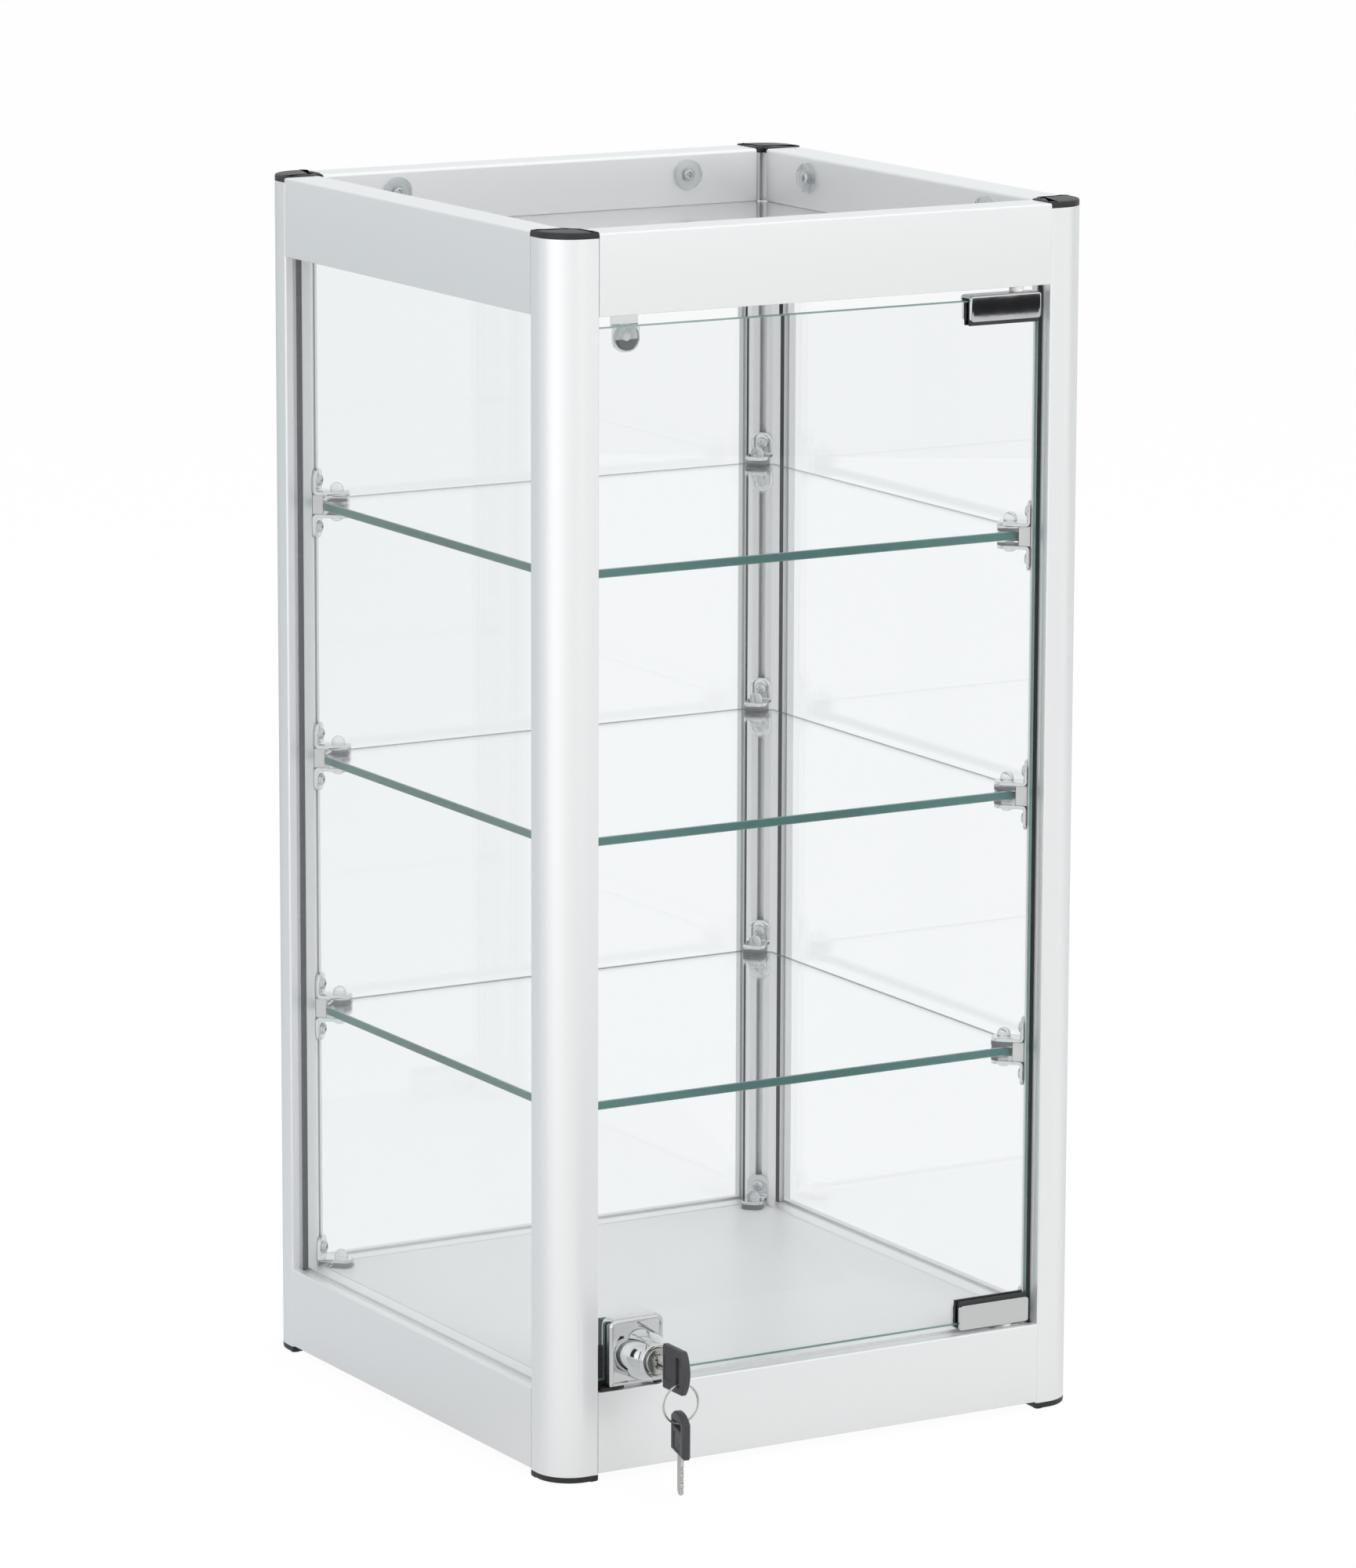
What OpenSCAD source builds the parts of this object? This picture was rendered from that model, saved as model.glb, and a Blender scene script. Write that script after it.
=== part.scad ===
// Countertop display case: a square glass tower with four rounded aluminium corner posts,
// framed top and bottom by rails, with three glass shelves held by chrome clamps that slide
// in the posts, and a glass door on pivot hinges with a cam lock, a key and a spare key.
// X runs to the right along the door, Y runs to the back, Z runs up from the countertop.

/* [Case] */
// Outer width across the door side
case_w = 355; // [320:1:460]
// Outer depth from the door side to the back
case_d = 355; // [320:1:460]
// Overall height from the countertop to the top of the caps
case_h = 718; // [690:1:900]

/* [Posts] */
// How far a post reaches along each side of the case
post_leg = 28.4; // [26:0.1:32]
// Radius of a post's rounded outer corner
post_round = 20.7; // [14:0.1:24]
// Depth of the flat face that a rail butts against
post_face = 20; // [19:0.1:23]
// Thickness of the plastic caps and feet
cap_t = 3.8; // [2:0.1:8]
// Diameter of the round peg under each cap and on each foot
peg_d = 7.2; // [4:0.1:8]
// Length of that peg
peg_l = 10; // [5:0.5:25]
// Width of the mouth of the clamp slot along a post's inner face
slot_mouth = 4; // [3.4:0.1:5]
// Thickness of the lips beside that mouth
slot_lip = 2; // [1.5:0.1:2.4]
// Width of the room behind the lips
slot_room_w = 8; // [7.4:0.1:9]
// Depth of the room behind the lips
slot_room_d = 3.4; // [3:0.1:3.6]

/* [Rails] */
// Thickness of a rail, measured into the case
rail_t = 24; // [23:0.5:28]
// Height of the top rails
top_rail_h = 46.6; // [44:0.2:70]
// Height of the bottom rails
bottom_rail_h = 47.9; // [44:0.1:70]
// How far the top rails stay below the top of the caps
rail_drop = 1; // [0.5:0.1:3]
// How far the bottom rails stay above the countertop
rail_lift = 4.5; // [4:0.1:8]
// Thickness of a rail's outer lip, in front of the pane groove
groove_lip = 5.2; // [4.6:0.1:6]
// Width of the pane groove in posts and rails
groove_w = 8.9; // [8.5:0.1:9.2]
// Depth of the pane groove in posts and rails
groove_deep = 9; // [7:0.2:9.4]
// Width of the ledge that carries the floor panel
ledge_w = 8; // [4:0.5:14]
// Thickness of that ledge
ledge_t = 3; // [2:0.5:5]
// Height of the screw discs above the tray glass
disc_rise = 19; // [13:0.5:24]
// Distance of the screw discs from the middle of each rail
disc_side = 100; // [40:1:120]
// Diameter of the screw discs
disc_d = 18.4; // [12:0.2:22]
// Thickness of the screw discs
disc_t = 3.4; // [2.4:0.1:5]

/* [Glass and panels] */
// Thickness of the side, back, door and tray glass
glass_t = 5; // [4:0.1:6]
// Depth of the tray glass below the top of the rails
tray_deep = 32; // [28:0.5:32]
// Thickness of the floor panel
floor_t = 12; // [8:0.5:18]
// Depth of the floor panel below the top of the bottom rails
floor_drop = 0.4; // [0:0.1:4]

/* [Shelves] */
// Thickness of a shelf
shelf_t = 5.2; // [4:0.1:8]
// Height of the lowest shelf's top above the countertop
shelf_first = 216; // [150:1:240]
// Step from one shelf up to the next
shelf_pitch = 153.8; // [110:0.1:160]
// Gap from the case's outer sides to the shelf's left and right edges
shelf_side_gap = 22.5; // [17:0.5:40]
// Gap from the back of the case to the shelf's back edge
shelf_back_gap = 24.5; // [17:0.5:40]
// Gap from the front of the case to the shelf's front edge
shelf_front_gap = 28.5; // [26:0.5:45]
// Gap from a post's inner face to the shelf's cut corner
shelf_corner_gap = 8; // [7.6:0.1:12]

/* [Shelf clamps] */
// Width of a clamp bracket
clamp_w = 13.5; // [11:0.1:16]
// Thickness of the bracket's steel
clamp_t = 2; // [1.2:0.1:2.6]
// Reach of the bracket from the post's inner face
clamp_reach = 20.5; // [19:0.1:24]
// Corner radius at the end of the bracket's arm
arm_round = 4.5; // [2:0.1:5]
// Corner radius at the top of the bracket's leg
leg_round = 5.4; // [2:0.1:5.4]
// Height of the bracket's leg above its arm
clamp_leg = 13; // [11:0.1:16]
// How far the clear pads reach past the bracket's arm
pad_show = 0.2; // [0:0.1:1]
// Thickness of the clear pads
pad_t = 3.2; // [2:0.1:5]
// Diameter of a pad's knob
knob_d = 8; // [6.6:0.1:9]
// Distance of the knob from the end of the arm
knob_inset = 7; // [6:0.1:7.5]
// Height of the knob on an upper pad
knob_high = 5.5; // [4.6:0.1:8]
// Height of the knob under a lower pad
knob_low = 2.6; // [1.5:0.1:4]
// Reach of the spacer block between two brackets
spacer_l = 7; // [4:0.1:7.4]
// Head diameter of the clamp screws
screw_head_d = 7.5; // [6:0.1:8]
// Head height of the clamp screws
screw_head_h = 2.2; // [1.4:0.1:3]
// Shank diameter of the clamp screws
screw_d = 3; // [2.4:0.1:3]

/* [Door] */
// Gap between the door glass and the posts
door_gap = 3.2; // [2.4:0.1:6]
// Depth of the door glass behind the front of the case
door_set = 7.5; // [7:0.1:7.9]
// Gap between the door's hinge clamps and the bottom rail
door_lift = 1.2; // [0.9:0.1:3]
// Gap between the door's hinge clamps and the top rail
door_top_gap = 4.1; // [1.5:0.1:6]
// Length of a hinge clamp along the door's edge
hinge_l = 48; // [34:0.5:70]
// Height of a hinge clamp
hinge_h = 15.2; // [12:0.2:24]
// Corner radius of a hinge clamp's faces
hinge_corner = 2.6; // [1:0.1:5]
// Wall of a hinge clamp
hinge_wall = 1.8; // [1.2:0.1:2]
// Thickness of the black liner between clamp and glass
liner_t = 1.5; // [1.4:0.1:1.8]
// How far the liner shows past the clamp
liner_show = 2.3; // [0.5:0.1:4]
// Distance of the hinge pin from the door's edge
pin_inset = 13.9; // [10:0.1:17]
// Diameter of the hinge pin
pin_d = 5; // [4:0.1:6]
// Distance of the door stop from the post
stop_inset = 25; // [14:0.5:60]
// Width of the door stop's bracket
stop_w = 17; // [16:0.5:24]
// Drop of the door stop below the top rail
stop_drop = 22.9; // [20:0.1:35]
// Diameter of the door stop's clear bumper
bumper_d = 15; // [10:0.5:16]
// Thickness of that bumper
bumper_t = 2.7; // [1.5:0.1:3.5]

/* [Lock] */
// Distance of the lock's axis from the door's edge
lock_inset = 20.9; // [20.4:0.1:26]
// Height of the lock's axis above the door's lower edge
lock_rise = 17.1; // [17:0.1:30]
// Width of the lock's plate
plate_w = 35.4; // [32:0.1:38]
// Height of the lock's plate above and below the axis together
plate_h = 39.8; // [34:0.1:40]
// How much higher the plate's middle is than the axis
plate_rise = 0.6; // [0:0.1:3]
// Thickness of the lock's plate
plate_t = 10; // [6:0.5:13]
// Radius of the plate's upper corners
plate_round = 5; // [1:0.5:8]
// Radius of the plate's lower corners
plate_foot_round = 1.2; // [0.6:0.1:5]
// Radius of the round dome behind the barrel
dome_r = 15.2; // [12:0.1:16]
// Radius of the barrel
barrel_r = 10.4; // [9.2:0.1:11]
// How far the barrel stands out from the glass
barrel_out = 33.3; // [28:0.1:38]
// Length of the flare between dome and barrel
dome_l = 21; // [12:0.5:22]
// Radius of the plug that the key turns
plug_r = 7.7; // [6.5:0.1:7.9]
// How far the plug stands out of the barrel
plug_out = 1; // [0:0.1:2]
// Length of the cam from the lock's axis
cam_l = 26.6; // [25.6:0.1:26.8]
// Angle of the unlocked cam above its right-hand side
cam_rest = 30; // [26:1:34]

/* [Keys] */
// Length of a key's head up to its shoulders
head_l = 20.8; // [18:0.1:26]
// Rise of the head's rounded end
head_bulge = 4.2; // [2:0.1:6]
// Width of a key's head
head_w = 25.8; // [24:0.1:28]
// Thickness of a key's head
head_t = 4.8; // [4:0.1:5]
// Bevel along the head's edges
head_bevel = 1; // [0.8:0.1:1]
// Length of the ring slot in a key's head
eye_l = 17.4; // [14:0.1:17.6]
// Width of the ring slot
eye_w = 4; // [3:0.1:5]
// Distance of the ring slot from the shoulders
eye_edge = 1.5; // [1:0.1:3]
// Length of a key's blade
blade_l = 24; // [18:0.1:24.8]
// Height of a key's blade
blade_h = 8; // [6:0.1:9]
// Thickness of a key's blade
blade_t = 1.8; // [1.2:0.1:2.4]
// How far the blade stays out of the plug
blade_show = 7.9; // [5:0.1:9]
// Radius of the key ring, to the middle of its wire
ring_r = 11.4; // [11.2:0.1:12]
// Diameter of the ring's wire
ring_wire = 1.2; // [0.8:0.1:1.4]
// Turn of the hanging spare key about its upright axis
spare_turn = 15; // [0:1:40]

/* [Hidden] */

$fn = 64;
eps = 0.02;       // clearance of pressed and screwed pieces on the same body
run = 0.06;       // radial running clearance of pins and the plug
apart = 0.3;      // clearance of pieces that slide or swing past each other
over = 1;         // how far a cutting shape runs past the face it cuts

silver = "#d3d7d9";
shadow_black = "#2b2b2e";
chrome = "#c4c8ca";
steel = "#b4b8ba";
clear_vinyl = "#dfe9ea";
glass_tint = "#cfe3de";

// Places that several pieces share
side_x = case_w / 2 - post_leg;
side_y = case_d / 2 - post_leg;
face_mid = (post_leg + post_face) / 2;
top_rail_z = case_h - rail_drop - top_rail_h;
top_rail_top = case_h - rail_drop;
bottom_rail_top = rail_lift + bottom_rail_h;
tray_z = top_rail_top - tray_deep - glass_t;
floor_top = bottom_rail_top - floor_drop;
pane_y = groove_lip + 0.6;
pane_in = groove_deep - 0.6;
gasket_w = groove_lip + groove_w - pane_y - glass_t - eps;
gasket_down = 4.6;
gasket_h = groove_deep - gasket_down - eps;
tray_slot_deep = 6;
core_in = 13;
chamber_z = 4;
chamber_in = 16;
rail_wall = 2;
disc_z = top_rail_top - tray_deep + disc_rise;
disc_screw_d = 3;
disc_head_d = 7;
disc_head_h = 1.6;

function side_half(i) = (i % 2 == 0) ? side_x : side_y;
function side_away(i) = (i % 2 == 0) ? case_d / 2 : case_w / 2;

// Puts its children on side i (front, right, back, left) with +Y pointing into the case
module on_side(i) {
    translate([0, frame_y, 0])
        rotate([0, 0, 90 * i])
            translate([0, -side_away(i), 0])
                children();
}

// Puts its children at a corner of the case, with +X and +Y pointing into the case
module at_corner(sx, sy) {
    translate([sx * case_w / 2, frame_y + sy * case_d / 2, 0])
        mirror([sx > 0 ? 1 : 0, 0, 0])
            mirror([0, sy > 0 ? 1 : 0, 0])
                children();
}

// Puts its children on a post's slanting inner face, with +X pointing into the case
module on_post_face(sx, sy) {
    at_corner(sx, sy)
        translate([face_mid, face_mid, 0])
            rotate([0, 0, 45])
                children();
}

module at_four_corners() {
    for (sx = [-1, 1], sy = [-1, 1])
        on_post_face(sx, sy)
            children();
}

// Strip along X from x0 to x1 with rounded corners at its far end
module tab_2d(x0, x1, width, r) {
    translate([x0, -width / 2])
        square([x1 - r - x0, width]);
    translate([x0, r - width / 2])
        square([x1 - x0, width - 2 * r]);
    for (s = [-1, 1])
        translate([x1 - r, s * (width / 2 - r)])
            circle(r = r);
}

module rounded_rect_2d(w, h, r) {
    for (sx = [-1, 1], sy = [-1, 1])
        translate([sx * (w / 2 - r), sy * (h / 2 - r)])
            circle(r = r);
    square([w, h - 2 * r], center = true);
    square([w - 2 * r, h], center = true);
}

// Plate with half sizes hx to each side, back y1 and front y0, with its corners cut at 45
// degrees so that they stay gap away from the posts' slanting faces
module cut_plate_2d(hx, y0, y1, gap) {
    reach = side_x + case_d / 2 - post_face - gap * sqrt(2);
    cut_front = max(0.5, hx - y0 - reach);
    cut_back = max(0.5, hx + y1 - reach);
    polygon([
        [-hx + cut_front, y0], [hx - cut_front, y0], [hx, y0 + cut_front],
        [hx, y1 - cut_back], [hx - cut_back, y1], [-hx + cut_back, y1],
        [-hx, y1 - cut_back], [-hx, y0 + cut_front]
    ]);
}

// Posts

module post_outline_2d() {
    difference() {
        intersection() {
            square(post_leg);
            union() {
                translate([post_round, post_round])
                    circle(r = post_round, $fn = 96);
                translate([post_round, 0])
                    square(post_leg);
                translate([0, post_round])
                    square(post_leg);
            }
        }
        translate([face_mid, face_mid])
            rotate(45)
                translate([0, -post_leg])
                    square(2 * post_leg);
    }
}

module post_section_2d() {
    difference() {
        post_outline_2d();
        translate([groove_lip, post_leg - groove_deep])
            square([groove_w, groove_deep + over]);
        translate([post_leg - groove_deep, groove_lip])
            square([groove_deep + over, groove_w]);
        translate([face_mid, face_mid])
            rotate(45) {
                translate([-slot_lip, -slot_mouth / 2])
                    square([slot_lip + over, slot_mouth]);
                translate([-slot_lip - slot_room_d, -slot_room_w / 2])
                    square([slot_room_d, slot_room_w]);
            }
        post_core_2d(peg_d);
    }
}

module post_core_2d(d) {
    translate([core_in, core_in])
        circle(d = d);
}

module post(sx, sy) {
    color(silver)
        at_corner(sx, sy)
            translate([0, 0, cap_t])
                linear_extrude(case_h - 2 * cap_t)
                    post_section_2d();
}

module cap_plate() {
    linear_extrude(cap_t)
        difference() {
            post_outline_2d();
            translate([face_mid, face_mid])
                rotate(45)
                    polygon([[-2, 0], [over, -3], [over, 3]]);
        }
}

module post_caps() {
    color(shadow_black)
        for (sx = [-1, 1], sy = [-1, 1])
            at_corner(sx, sy)
                translate([0, 0, case_h - cap_t]) {
                    cap_plate();
                    translate([0, 0, -peg_l])
                        linear_extrude(peg_l + over)
                            post_core_2d(peg_d - 2 * eps);
                }
}

module post_feet() {
    color(shadow_black)
        for (sx = [-1, 1], sy = [-1, 1])
            at_corner(sx, sy) {
                cap_plate();
                linear_extrude(cap_t + peg_l)
                    post_core_2d(peg_d - 2 * eps);
            }
}

// Rails

module groove_2d(y) {
    translate([groove_lip, y])
        square([groove_w, groove_deep + over]);
}

module chambers_2d(z0, z1) {
    translate([groove_lip, z0])
        square([groove_w, z1 - z0]);
    translate([chamber_in, z0])
        square([rail_t - rail_wall - chamber_in, z1 - z0]);
}

top_chamber_z0 = tray_z + glass_t + 2 - top_rail_z;
top_chamber_z1 = top_rail_h - chamber_z;
bottom_chamber_z1 = bottom_rail_h - groove_deep - 2.9;
ledge_z = floor_top - floor_t - rail_lift;
tray_slot_h = glass_t + 0.4;

module top_rail_section_2d() {
    difference() {
        square([rail_t, top_rail_h]);
        groove_2d(-over);
        translate([rail_t - tray_slot_deep, tray_z - top_rail_z])
            square([tray_slot_deep + over, tray_slot_h]);
        chambers_2d(top_chamber_z0, top_chamber_z1);
    }
}

module bottom_rail_section_2d() {
    difference() {
        union() {
            square([rail_t, bottom_rail_h]);
            translate([rail_t - over, ledge_z - ledge_t])
                square([ledge_w + over, ledge_t]);
        }
        groove_2d(bottom_rail_h - groove_deep);
        chambers_2d(chamber_z, bottom_chamber_z1);
    }
}

// Runs a section along X, from one end to the other, with its first axis on Y
module run_along_x(half) {
    translate([-half, 0, 0])
        rotate([90, 0, 90])
            linear_extrude(2 * half)
                children();
}

module disc_holes(i) {
    for (s = [-1, 1])
        translate([s * disc_side, rail_t + over, disc_z])
            rotate([90, 0, 0])
                cylinder(d = disc_screw_d + 2 * eps, h = rail_wall + 2 * over);
}

module top_rail(i) {
    color(silver)
        on_side(i)
            difference() {
                translate([0, 0, top_rail_z])
                    run_along_x(side_half(i))
                        top_rail_section_2d();
                disc_holes(i);
                if (i == 0)
                    translate([stop_x, stop_screw_y, top_rail_z - over])
                        cylinder(d = stop_screw_d + 2 * eps, h = stop_screw_l + over);
            }
}

// The ledges of the side rails stop short of those of the front and back rails
module bottom_rail(i) {
    half = side_half(i);
    color(silver)
        on_side(i)
            difference() {
                translate([0, 0, rail_lift])
                    run_along_x(half)
                        bottom_rail_section_2d();
                if (i % 2 == 1)
                    for (s = [-1, 1])
                        translate([s * (side_away(i + 1) - rail_t), rail_t, 0])
                            ledge_end_cut();
            }
}

module ledge_end_cut() {
    translate([-ledge_w - eps, 0, rail_lift + over])
        cube([2 * ledge_w + 2 * eps, ledge_w + over, bottom_rail_h]);
}

connector_l = 14;

module connector(half, z0, z1) {
    for (s = [-1, 1])
        translate([s * half - (s > 0 ? connector_l : pane_in), groove_lip + 0.15, z0 + 0.15])
            cube([connector_l + pane_in, groove_w - 0.3, z1 - z0 - 0.3]);
}

module rail_connectors() {
    color(steel)
        for (i = [0:3])
            on_side(i) {
                connector(side_half(i), rail_lift + chamber_z, rail_lift + bottom_chamber_z1);
                connector(side_half(i), top_rail_z + top_chamber_z0, top_rail_z + top_chamber_z1);
            }
}

// Panes, tray and floor

module pane(i) {
    half = side_half(i) + pane_in;
    z0 = bottom_rail_top - pane_in;
    z1 = top_rail_z + pane_in;
    color(glass_tint)
        on_side(i)
            translate([-half, pane_y, z0])
                cube([2 * half, glass_t, z1 - z0]);
}

// Bead at the bottom of the groove, behind the pane
module pane_gasket(i) {
    half = side_half(i);
    for (s = [-1, 1])
        translate([s > 0 ? half + gasket_down : -half - gasket_down - gasket_h, 0, bottom_rail_top])
            cube([gasket_h, gasket_w, top_rail_z - bottom_rail_top]);
    for (z = [bottom_rail_top - gasket_down - gasket_h, top_rail_z + gasket_down])
        translate([-half, 0, z])
            cube([2 * half, gasket_w, gasket_h]);
}

module pane_gaskets() {
    color(shadow_black)
        for (i = [1:3])
            on_side(i)
                translate([0, pane_y + glass_t, 0])
                    pane_gasket(i);
}

module tray_glass() {
    hx = case_w / 2 - rail_t + tray_slot_deep - 0.6;
    hy = case_d / 2 - rail_t + tray_slot_deep - 0.6;
    color(glass_tint)
        translate([0, frame_y, tray_z])
            linear_extrude(glass_t)
                cut_plate_2d(hx, -hy, hy, 0.5);
}

module floor_panel() {
    hx = case_w / 2 - rail_t - apart;
    hy = case_d / 2 - rail_t - apart;
    color("#eceef0")
        translate([0, frame_y, floor_top - floor_t])
            linear_extrude(floor_t)
                cut_plate_2d(hx, -hy, hy, 0.5);
}

module each_disc() {
    for (i = [0:3], s = [-1, 1])
        on_side(i)
            translate([s * disc_side, rail_t, disc_z])
                rotate([-90, 0, 0])
                    children();
}

module tray_discs() {
    color(clear_vinyl)
        each_disc()
            difference() {
                cylinder(d = disc_d, h = disc_t);
                translate([0, 0, -over])
                    cylinder(d = disc_screw_d + 0.4, h = disc_t + 2 * over);
                translate([0, 0, disc_t - disc_head_h])
                    cylinder(d = disc_head_d + 0.4, h = disc_head_h + over);
            }
}

// The screws of the discs and the one under the rail that holds the door stop
module top_rail_screws() {
    color(steel) {
        each_disc() {
            translate([0, 0, disc_t - disc_head_h])
                cylinder(d = disc_head_d, h = disc_head_h);
            translate([0, 0, -rail_wall - over])
                cylinder(d = disc_screw_d, h = rail_wall + over + disc_t - disc_head_h + over / 2);
        }
        on_side(0)
            translate([stop_x, stop_screw_y, top_rail_z - stop_t]) {
                translate([0, 0, -stop_head_h])
                    cylinder(d = stop_head_d, h = stop_head_h);
                cylinder(d = stop_screw_d, h = stop_t + stop_screw_l - 0.5);
            }
    }
}

// Shelves and their clamps

knob_at = clamp_reach - knob_inset;
screw_at = clamp_t + clamp_leg - clamp_w / 2;
stem_d = knob_d - 2;
nut_w = slot_room_w - 2 * apart - 0.2;
nut_l = 9;
nut_t = slot_room_d - 2 * apart - 0.2;
screw_tip = slot_lip + slot_room_d - apart;

function shelf_z(n) = shelf_first + (n - 1) * shelf_pitch;

module shelf_glass(n) {
    color(glass_tint)
        translate([0, frame_y, shelf_z(n) - shelf_t])
            linear_extrude(shelf_t)
                cut_plate_2d(case_w / 2 - shelf_side_gap, -case_d / 2 + shelf_front_gap,
                    case_d / 2 - shelf_back_gap, shelf_corner_gap);
}

// Bent steel bracket: an arm over the glass and a leg up the post
module bracket() {
    difference() {
        union() {
            linear_extrude(clamp_t)
                tab_2d(apart, clamp_reach, clamp_w, arm_round);
            translate([apart, 0, 0])
                rotate([0, -90, 180])
                    linear_extrude(clamp_t)
                        tab_2d(0, clamp_t + clamp_leg, clamp_w, leg_round);
        }
        translate([knob_at, 0, -over])
            cylinder(d = stem_d + 2 * eps, h = clamp_t + 2 * over);
        translate([apart - over, 0, screw_at])
            rotate([0, 90, 0])
                cylinder(d = screw_d + 0.4, h = clamp_t + 2 * over);
    }
}

// Clear vinyl pad whose knob is pushed through the bracket's arm
module pad(knob_h) {
    r = knob_d / 2;
    dome_h = min(knob_h, r);
    ball = (r * r + dome_h * dome_h) / (2 * dome_h);
    linear_extrude(pad_t)
        tab_2d(spacer_l + 0.1, clamp_reach + pad_show, clamp_w + pad_show, arm_round);
    translate([knob_at, 0, 0]) {
        translate([0, 0, pad_t - over])
            cylinder(d = stem_d, h = clamp_t + 2 * over);
        translate([0, 0, pad_t + clamp_t]) {
            if (knob_h > r)
                cylinder(r = r, h = knob_h - r);
            translate([0, 0, knob_h - dome_h])
                intersection() {
                    cylinder(r = r, h = dome_h);
                    translate([0, 0, dome_h - ball])
                        sphere(r = ball);
                }
        }
    }
}

// Pan-head screw through the bracket's leg with its square nut behind the slot's lips
module slot_screw() {
    translate([0, 0, screw_at]) {
        translate([apart + clamp_t, 0, 0])
            rotate([0, 90, 0])
                cylinder(d = screw_head_d, h = screw_head_h);
        translate([-screw_tip, 0, 0])
            rotate([0, 90, 0])
                cylinder(d = screw_d, h = screw_tip + apart + clamp_t + over);
        translate([-slot_lip - apart - nut_t, 0, 0])
            difference() {
                translate([0, -nut_w / 2, -nut_l / 2])
                    cube([nut_t, nut_w, nut_l]);
                translate([-over, 0, 0])
                    rotate([0, 90, 0])
                        cylinder(d = screw_d + 2 * eps, h = nut_t + 2 * over);
            }
    }
}

// Places a clamp's upper half above the shelf and its lower half, turned over, below it
module above_shelf(n) {
    translate([0, 0, shelf_z(n)])
        at_four_corners()
            children();
}

module below_shelf(n) {
    translate([0, 0, shelf_z(n) - shelf_t])
        at_four_corners()
            mirror([0, 0, 1])
                children();
}

module shelf_brackets(n) {
    color(chrome) {
        above_shelf(n)
            translate([0, 0, pad_t])
                bracket();
        below_shelf(n)
            translate([0, 0, pad_t])
                bracket();
    }
}

module shelf_pads(n) {
    color(clear_vinyl) {
        above_shelf(n)
            pad(knob_high);
        below_shelf(n)
            pad(knob_low);
    }
}

module shelf_spacers(n) {
    color("#f4f4f2")
        translate([0, 0, shelf_z(n) - shelf_t - pad_t])
            at_four_corners()
                translate([apart, -clamp_w / 2 + 0.5, 0])
                    cube([spacer_l - apart, clamp_w - 1, shelf_t + 2 * pad_t]);
}

module shelf_screws(n) {
    color(steel) {
        above_shelf(n)
            translate([0, 0, pad_t])
                slot_screw();
        below_shelf(n)
            translate([0, 0, pad_t])
                slot_screw();
    }
}

module on_floor(h) {
    translate([0, 0, floor_top + h])
        at_four_corners()
            children();
}

module floor_brackets() {
    color(chrome)
        on_floor(pad_t)
            bracket();
}

module floor_pads() {
    color(clear_vinyl)
        on_floor(0)
            pad(knob_high);
}

module floor_screws() {
    color(steel)
        on_floor(pad_t)
            slot_screw();
}

// Door, hinges and stop, in the frame of the front side

door_half = side_x - door_gap;
web_gap = hinge_wall + liner_t;
clamp_z0 = bottom_rail_top + door_lift;
clamp_z1 = top_rail_z - door_top_gap;
door_z0 = clamp_z0 + web_gap;
door_z1 = clamp_z1 - web_gap;
door_mid = door_set + glass_t / 2;
pin_x = door_half - pin_inset;
hinge_end = door_half - 0.4;
hinge_deep = glass_t + 2 * liner_t + 2 * hinge_wall;
hinge_round = 1.2;
bush_deep = groove_deep - 0.2;
bush_w = 16;
stop_x = -side_x + stop_inset;
stop_screw_d = 3;
stop_screw_l = 7;
stop_head_d = 5.6;
stop_head_h = 1.6;
stop_stem_d = 4;
stop_stem_head_d = 6;
stop_t = 1.8;
stop_round = 7.4;
stop_front = door_set + glass_t + apart + bumper_t;
stop_screw_y = stop_front + stop_t + stop_head_d / 2 + apart;

module door_glass() {
    color(glass_tint)
        difference() {
            on_side(0)
                translate([-door_half, door_set, door_z0])
                    cube([2 * door_half, glass_t, door_z1 - door_z0]);
            in_lock()
                translate([0, 0, -glass_t - over])
                    cylinder(r = shank_r + 0.3, h = glass_t + 2 * over);
        }
}

// Puts its children on the hinge side, upright at the bottom and turned over at the top
module at_hinge(top) {
    on_side(0)
        translate([0, 0, top ? clamp_z1 : clamp_z0])
            mirror([0, 0, top ? 1 : 0])
                children();
}

module hinge_channel_2d() {
    difference() {
        union() {
            for (s = [-1, 1])
                translate([s * (hinge_deep / 2 - hinge_round), hinge_round])
                    circle(r = hinge_round);
            translate([-hinge_deep / 2 + hinge_round, 0])
                square([hinge_deep - 2 * hinge_round, hinge_h]);
            translate([-hinge_deep / 2, hinge_round])
                square([hinge_deep, hinge_h - hinge_round]);
        }
        translate([-hinge_deep / 2 + hinge_wall, hinge_wall])
            square([hinge_deep - 2 * hinge_wall, hinge_h]);
    }
}

module hinge_clamp(top) {
    color(chrome)
        at_hinge(top)
            difference() {
                intersection() {
                    translate([hinge_end - hinge_l / 2, door_mid, 0])
                        run_along_x(hinge_l / 2)
                            hinge_channel_2d();
                    translate([hinge_end - hinge_l / 2, door_mid + hinge_deep / 2 + over, hinge_h / 2])
                        rotate([90, 0, 0])
                            linear_extrude(hinge_deep + 2 * over)
                                rounded_rect_2d(hinge_l, hinge_h, hinge_corner);
                }
                translate([pin_x, door_mid, -over])
                    cylinder(d = pin_d + 2 * eps, h = hinge_wall + 2 * over);
            }
}

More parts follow.
